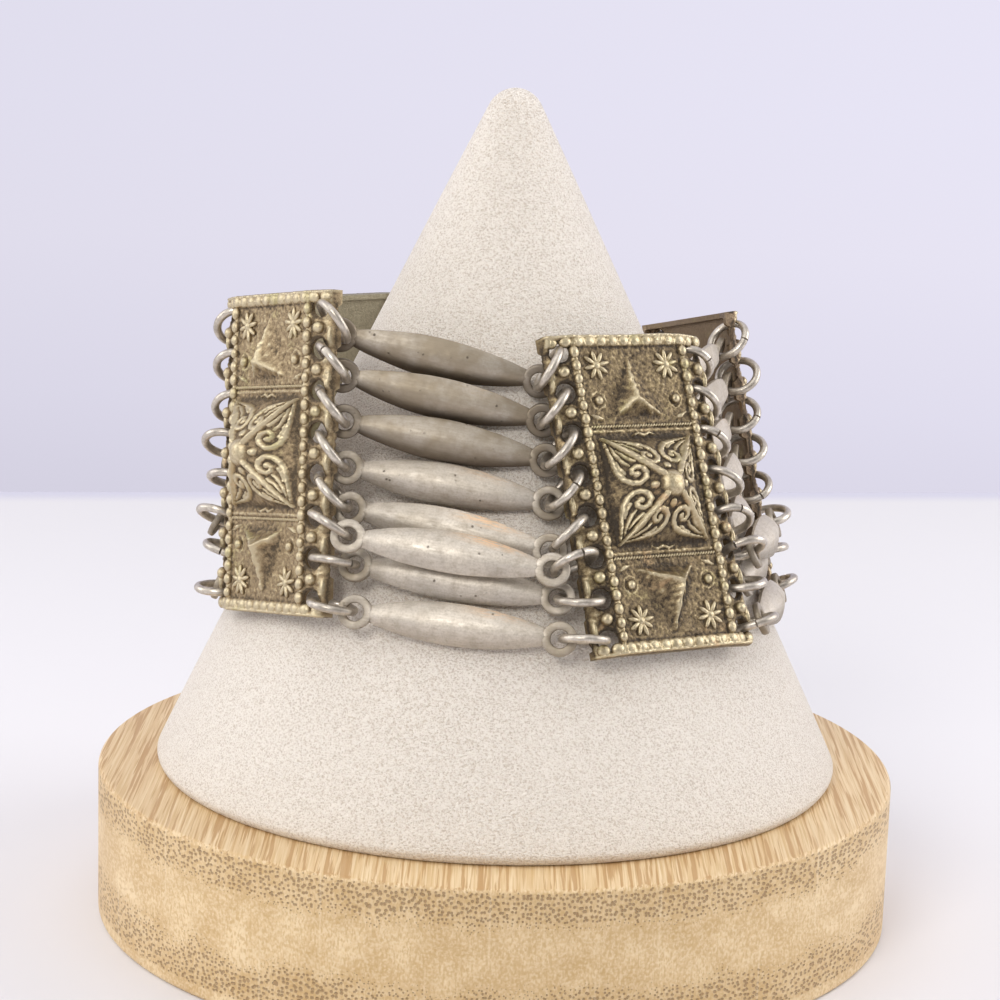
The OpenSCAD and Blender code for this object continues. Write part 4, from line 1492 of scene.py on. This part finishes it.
@dataclass
class RingColumn:
    """A column of jump rings."""

    node: str
    places: Sequence[Place]
    seed: int

    def build(self, tree: Sprout, metal: bpy.types.Material) -> bpy.types.Object:
        """Makes the rings in place of their CAD node."""
        cloud = point_cloud(self.node + "_points", self.places)
        piece = tree.grow(cloud, self.node + "_dressed", {"Seed": self.seed, "Material": metal})
        piece.data.set_sharp_from_angle(angle=math.radians(60))
        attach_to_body(piece, "root")
        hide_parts(self.node)
        return piece


def ring_tree() -> Sprout:
    """The tree that bends a wire into a ring with a fine cut and sets it on every point."""
    g = Sprout("Jump rings", {
        "Ring Radius": ("Float", 2.3 * MM), "Wire Radius": ("Float", 0.45 * MM),
        "Cut Angle": ("Float", 0.06), "Hammering": ("Float", 0.04 * MM),
        "Seed": ("Int", 1), "Material": ("Material", None)})
    sweep = g.math("SUBTRACT", 2 * math.pi, g.given["Cut Angle"])
    arc = g.node("GeometryNodeCurveArc", {
        "Resolution": 44, "Radius": g.given["Ring Radius"], "Sweep Angle": sweep}, mode="RADIUS").outputs[0]
    wire = g.node("GeometryNodeCurvePrimitiveCircle", {
        "Resolution": 12, "Radius": g.given["Wire Radius"]}, mode="RADIUS").outputs[0]
    ring = g.node("GeometryNodeCurveToMesh", {
        "Curve": arc, "Profile Curve": wire, "Fill Caps": True}).outputs[0]
    spin = g.node("FunctionNodeRandomValue", {2: 0.0, 3: 2 * math.pi, "Seed": g.given["Seed"]},
                  data_type="FLOAT").outputs[1]
    euler = g.node("ShaderNodeCombineXYZ", {2: spin}).outputs[0]
    by = g.node("FunctionNodeEulerToRotation", {0: euler}).outputs[0]
    facing = g.node("FunctionNodeRotateRotation", {0: g.facing(), 1: by}, rotation_space="LOCAL").outputs[0]
    g.end(g.uneven(g.set_on(g.given["Geometry"], ring, facing), 900.0, g.given["Hammering"]))
    return g


# Stand


def turned_body(name: str, profile: Sequence[Dot], steps: int,
                sway: Callable[[float, float], float] | None = None) -> bpy.types.Object:
    """Turns a profile about the vertical axis.

    Args:
        name: The object's name.
        profile: Radius and height from the bottom's middle to the top's, in millimetres.
        steps: Steps round the axis.
        sway: An outward offset in millimetres at an angle and a height.

    Returns:
        The closed, smooth object.
    """
    inner = profile[1:-1]
    points = [(0.0, 0.0, profile[0][1] * MM)]
    for r, z in inner:
        for i in range(steps):
            a = 2 * math.pi * i / steps
            d = (r + (sway(a, z) if sway else 0.0)) * MM
            points.append((d * math.cos(a), d * math.sin(a), z * MM))
    points.append((0.0, 0.0, profile[-1][1] * MM))
    faces = [[0, 1 + (i + 1) % steps, 1 + i] for i in range(steps)]
    for k in range(len(inner) - 1):
        a, b = 1 + k * steps, 1 + (k + 1) * steps
        faces += [[a + i, a + (i + 1) % steps, b + (i + 1) % steps, b + i] for i in range(steps)]
    last, end = 1 + (len(inner) - 1) * steps, len(points) - 1
    faces += [[last + i, last + (i + 1) % steps, end] for i in range(steps)]
    mesh = bpy.data.meshes.new(name)
    mesh.from_pydata(points, [], faces)
    mesh.shade_smooth()
    mesh.set_sharp_from_angle(angle=math.radians(45))
    return show(name, mesh)


@dataclass
class DisplayCone:
    """The suede covered cone that holds the bracelet up."""

    foot: float = 17.2
    radius: float = 39.4
    slope_height: float = 79.9
    tuck: float = 0.9
    draw_in: float = 0.45
    tip_radius: float = 3.3

    def side(self, z: float) -> float:
        """Radius at a height above the foot, drawn in a little where the cover is tacked under."""
        return self.radius * (1 - z / self.slope_height) - self.draw_in * math.exp(-z / 12)

    def profile(self) -> list[Dot]:
        """Radius and height from the foot's middle to the tip."""
        half = math.atan(self.radius / self.slope_height)
        tip_z = self.slope_height - self.tip_radius / math.sin(half)
        join = tip_z + self.tip_radius * math.sin(half)
        line = [(0.0, self.foot), (self.radius - self.tuck - 0.6, self.foot)]
        for k in range(7):
            t = k / 6
            z = 0.08 + t * 1.15
            line.append((self.side(z) - self.tuck * (1 - t) ** 1.8, self.foot + z))
        for z in np.linspace(2.0, join, 48):
            line.append((self.side(float(z)), self.foot + float(z)))
        for k in range(1, 9):
            a = half + (math.pi / 2 - half) * k / 9
            line.append((self.tip_radius * math.cos(a), self.foot + tip_z + self.tip_radius * math.sin(a)))
        line.append((0.0, self.foot + tip_z + self.tip_radius))
        return line

    def build(self, finish: Suede) -> bpy.types.Object:
        """Makes the cone in place of its CAD node."""
        def sway(angle: float, z: float) -> float:
            """A slight pull of the cover over its core."""
            share = min(1.0, max(0.0, (z - self.foot) / 4))
            return -0.05 * share * (1 + math.sin(3 * angle + z / 9) * math.sin(5 * angle - z / 13))

        piece = turned_body("cone_cover", self.profile(), 180, sway)
        piece.data.materials.append(finish.material("cream_suede"))
        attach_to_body(piece, "root")
        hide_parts("display_cone")
        return piece


@dataclass
class BambooBase:
    """The round bamboo block under the cone."""

    radius: float = 45.0
    height: float = 17.1
    rounding: float = 0.6

    def build(self, finish: Bamboo) -> bpy.types.Object:
        """Makes the base in place of its CAD node."""
        r, b, h = self.radius, self.rounding, self.height
        line = [(0.0, 0.0), (r - b, 0.0)]
        for k in range(1, 7):
            a = -math.pi / 2 + math.pi / 2 * k / 6
            line.append((r - b + b * math.cos(a), b + b * math.sin(a)))
        line += [(r, z) for z in (4.0, 7.0, 10.0, 13.0)]
        for k in range(7):
            a = math.pi / 2 * k / 6
            line.append((r - b + b * math.cos(a), h - b + b * math.sin(a)))
        line += [(41.0, h), (20.0, h), (0.0, h)]
        piece = turned_body("bamboo_block", line, 256)
        piece.data.materials.append(finish.material("laminated_bamboo"))
        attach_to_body(piece, "root")
        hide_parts("wooden_base")
        return piece


# Studio


@dataclass(frozen=True)
class SoftBox:
    """A square soft light."""

    name: str
    at: Triple
    aim: Triple
    size: float
    power: float
    colour: Colour = (1.0, 1.0, 1.0)

    def build(self) -> None:
        """Hangs the light."""
        data = bpy.data.lights.new(self.name, "AREA")
        data.shape, data.size, data.energy, data.color = "SQUARE", self.size, self.power, self.colour
        obj = bpy.data.objects.new(self.name, data)
        obj.location = self.at
        obj.rotation_euler = (Vector(self.aim) - Vector(self.at)).to_track_quat("-Z", "Y").to_euler()
        bpy.context.scene.collection.objects.link(obj)


@dataclass
class Studio:
    """The table, the room with its backdrop, the lights and the camera.

    The camera's place, angles and focal length are solved from the photograph, by a least-squares
    fit to the outlines of the cone and the base.
    """

    table: PaleStage = PaleStage()
    camera_at: Triple = (0.0, -299.233, 108.893)
    pitch: float = 0.203924
    yaw: float = -0.001202
    roll: float = 0.031279
    focal: float = 2718.43
    sensor: float = 36.0
    frame_size: float = 1000.0
    world: Colour = (0.975, 0.965, 1.0)
    world_front: float = 0.18
    world_side: float = 0.50
    world_top: float = 0.32
    world_low: float = 0.32
    backdrop: tuple[tuple[float, Colour], ...] = (
        (0.0, (0.686, 0.664, 0.784)), (0.25, (0.730, 0.708, 0.832)),
        (0.65, (0.776, 0.752, 0.871)), (1.0, (0.780, 0.760, 0.887)))
    backdrop_sides: tuple[float, float] = (0.965, 1.035)
    lights: tuple[SoftBox, ...] = (
        SoftBox("top", (-0.10, -0.12, 0.62), (0, 0, 0.05), 0.50, 0.55),
        SoftBox("left", (-0.50, -0.02, 0.24), (0, 0, 0.05), 0.35, 0.92),
        SoftBox("right", (0.50, 0.04, 0.24), (0, 0, 0.05), 0.35, 1.50),
        SoftBox("front", (-0.24, -0.62, 0.46), (0, 0, 0.05), 0.26, 2.15, (1.0, 0.98, 0.95)),
    )

    def build(self) -> None:
        """Sets up the whole studio."""
        self.stage()
        for light in self.lights:
            light.build()
        self.surroundings()
        bpy.context.scene.view_settings.view_transform = "Standard"
        self.camera()

    def surroundings(self) -> None:
        """The room: dim before the object, bright at the sides, with a pale wall behind it."""
        world = bpy.data.worlds.new("studio")
        world.use_nodes = True
        g = Graph(world.node_tree)
        g.tree.nodes.clear()
        way = g.node("ShaderNodeTexCoord").outputs["Generated"]
        split = g.node("ShaderNodeSeparateXYZ", {0: way}).outputs
        level = g.fit(split[1], -0.95, -0.1, self.world_front, self.world_side, smooth=True)
        above = g.fit(split[2], 0.15, 0.9, 0.0, self.world_top)
        below = g.fit(split[2], -0.02, 0.0, self.world_low, 0.0)
        strength = g.math("ADD", g.math("ADD", level, above), below)
        rise = g.fit(split[2], -0.20, -0.06)
        behind = g.fit(split[1], 0.15, 0.60, smooth=True)
        glow = g.node("ShaderNodeMixShader", {
            0: behind,
            1: g.node("ShaderNodeBackground", {"Color": (*self.world, 1), "Strength": strength}).outputs[0],
            2: g.node("ShaderNodeBackground", {
                "Color": g.ramp(rise, *self.backdrop),
                "Strength": g.fit(split[0], -0.18, 0.18, *self.backdrop_sides)}).outputs[0]})
        g.node("ShaderNodeOutputWorld", {"Surface": glow.outputs[0]})
        bpy.context.scene.world = world

    def stage(self) -> bpy.types.Object:
        """The table top, which ends in a straight edge some way behind the object."""
        rows, half = (-4000.0, -600.0, 0.0, self.table.edge), 3000
        points = [(x * MM, (y + x * self.table.skew) * MM, 0.0) for y in rows for x in (-half, half)]
        faces = [[2 * i, 2 * i + 1, 2 * i + 3, 2 * i + 2] for i in range(len(rows) - 1)]
        mesh = bpy.data.meshes.new("studio_table")
        mesh.from_pydata(points, [], faces)
        mesh.shade_smooth()
        mesh.materials.append(self.table.material("pale_table"))
        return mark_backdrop(show("studio_table", mesh))

    def camera(self) -> None:
        """The camera at the photograph's place."""
        look = np.array([math.sin(self.yaw) * math.cos(self.pitch),
                         math.cos(self.yaw) * math.cos(self.pitch), -math.sin(self.pitch)])
        right = unit(np.cross(look, [0.0, 0.0, 1.0]))
        up = np.cross(right, look)
        right, up = turned(right, up, math.degrees(self.roll))
        data = bpy.data.cameras.new("camera")
        data.sensor_fit, data.sensor_width = "HORIZONTAL", self.sensor
        data.lens = self.focal * self.sensor / self.frame_size
        data.clip_start = 0.01
        obj = bpy.data.objects.new("camera", data)
        turn = Matrix([right, up, -look]).transposed().to_4x4()
        obj.matrix_world = Matrix.Translation(Vector(self.camera_at) * MM) @ turn
        bpy.context.scene.collection.objects.link(obj)
        bpy.context.scene.camera = obj


# The whole


def report(piece: bpy.types.Object) -> None:
    """Logs a piece's name and its number of triangles."""
    piece.data.calc_loop_triangles()
    LOG.info("%s: %d triangles", piece.name, len(piece.data.loop_triangles))


def main() -> None:
    """Builds the studio, the stand and the bracelet, in that order."""
    logging.basicConfig(level=logging.INFO, format="%(message)s")
    Studio().build()
    report(BambooBase().build(Bamboo()))
    report(DisplayCone().build(Suede()))
    grains = grain_tree()
    panels = (
        StampedPanel(FRONT_LEFT, TarnishedNickel(
            grime=(0.10, 0.073, 0.043), shade=(0.28, 0.207, 0.122), body=(0.415, 0.325, 0.198),
            rubbed=(0.595, 0.508, 0.338), wear_shift=0.05), shift=0.35, seed=11),
        StampedPanel(FRONT_RIGHT, TarnishedNickel(), shift=-0.35, seed=12),
        StampedPanel(REAR_RIGHT, TarnishedNickel(
            shade=(0.20, 0.14, 0.09), body=(0.33, 0.25, 0.165)), step=0.125, detail=2, seed=13),
        StampedPanel(REAR_LEFT, TarnishedNickel(
            shade=(0.21, 0.18, 0.12), body=(0.40, 0.355, 0.25)), step=0.125, detail=2, seed=14),
    )
    for panel in panels:
        report(panel.build(grains))
    bars, pattern = bar_tree(), SpindleBar().pattern()
    silver = WornSilver().material("worn_silver")
    rows = (
        LinkRow(SECTIONS[0], (1.15, 1.05, 1.0, 0.28, 0.12, -0.2, 0.1, 0.08),
                (0, 0.1, 0, 0.35, 1.0, 1.0, 0.1, 0.55)),
        LinkRow(SECTIONS[1], (0.45, 0.4, 0.35, 0.3, 0.35, 0.3, 0.35, 0.3), (0, 0, 0.2, 0, 0.4, 0, 0.2, 0)),
        LinkRow(SECTIONS[2], (0.6, 0.5, 0.3, 0.2, 0.4, 0.1, 0.2, 0.1), (0, 0.3, 0, 0.4, 0, 0.2, 0, 0.3)),
        LinkRow(SECTIONS[3], (0.5, 0.4, 0.4, 0.2, 0.1, 0.1, 0.2, 0.0), (0.2, 0, 0.3, 0, 0.5, 0, 0, 0.2)),
    )
    for row in rows:
        report(row.build(bars, pattern, silver))
    discard(pattern)
    rings, wire = ring_tree(), DrawnWire().material("bright_wire")
    for k, section in enumerate(SECTIONS):
        for side in Side:
            column = RingColumn(f"rings_{section.name}_{side.name.lower()}", section.rings[side],
                                20 + 2 * k + (side is Side.RIGHT))
            report(column.build(rings, wire))
    report(RingColumn("rings_clasp", CLASP_RINGS, 40).build(rings, wire))
    strip = frame["nodes"]["clasp_strip"]
    strip.data.materials.clear()
    strip.data.materials.append(WornSilver(pattern=Pattern.OBJECT).material("worn_silver_strip"))
    report(strip)


if __name__ == "__main__":
    main()
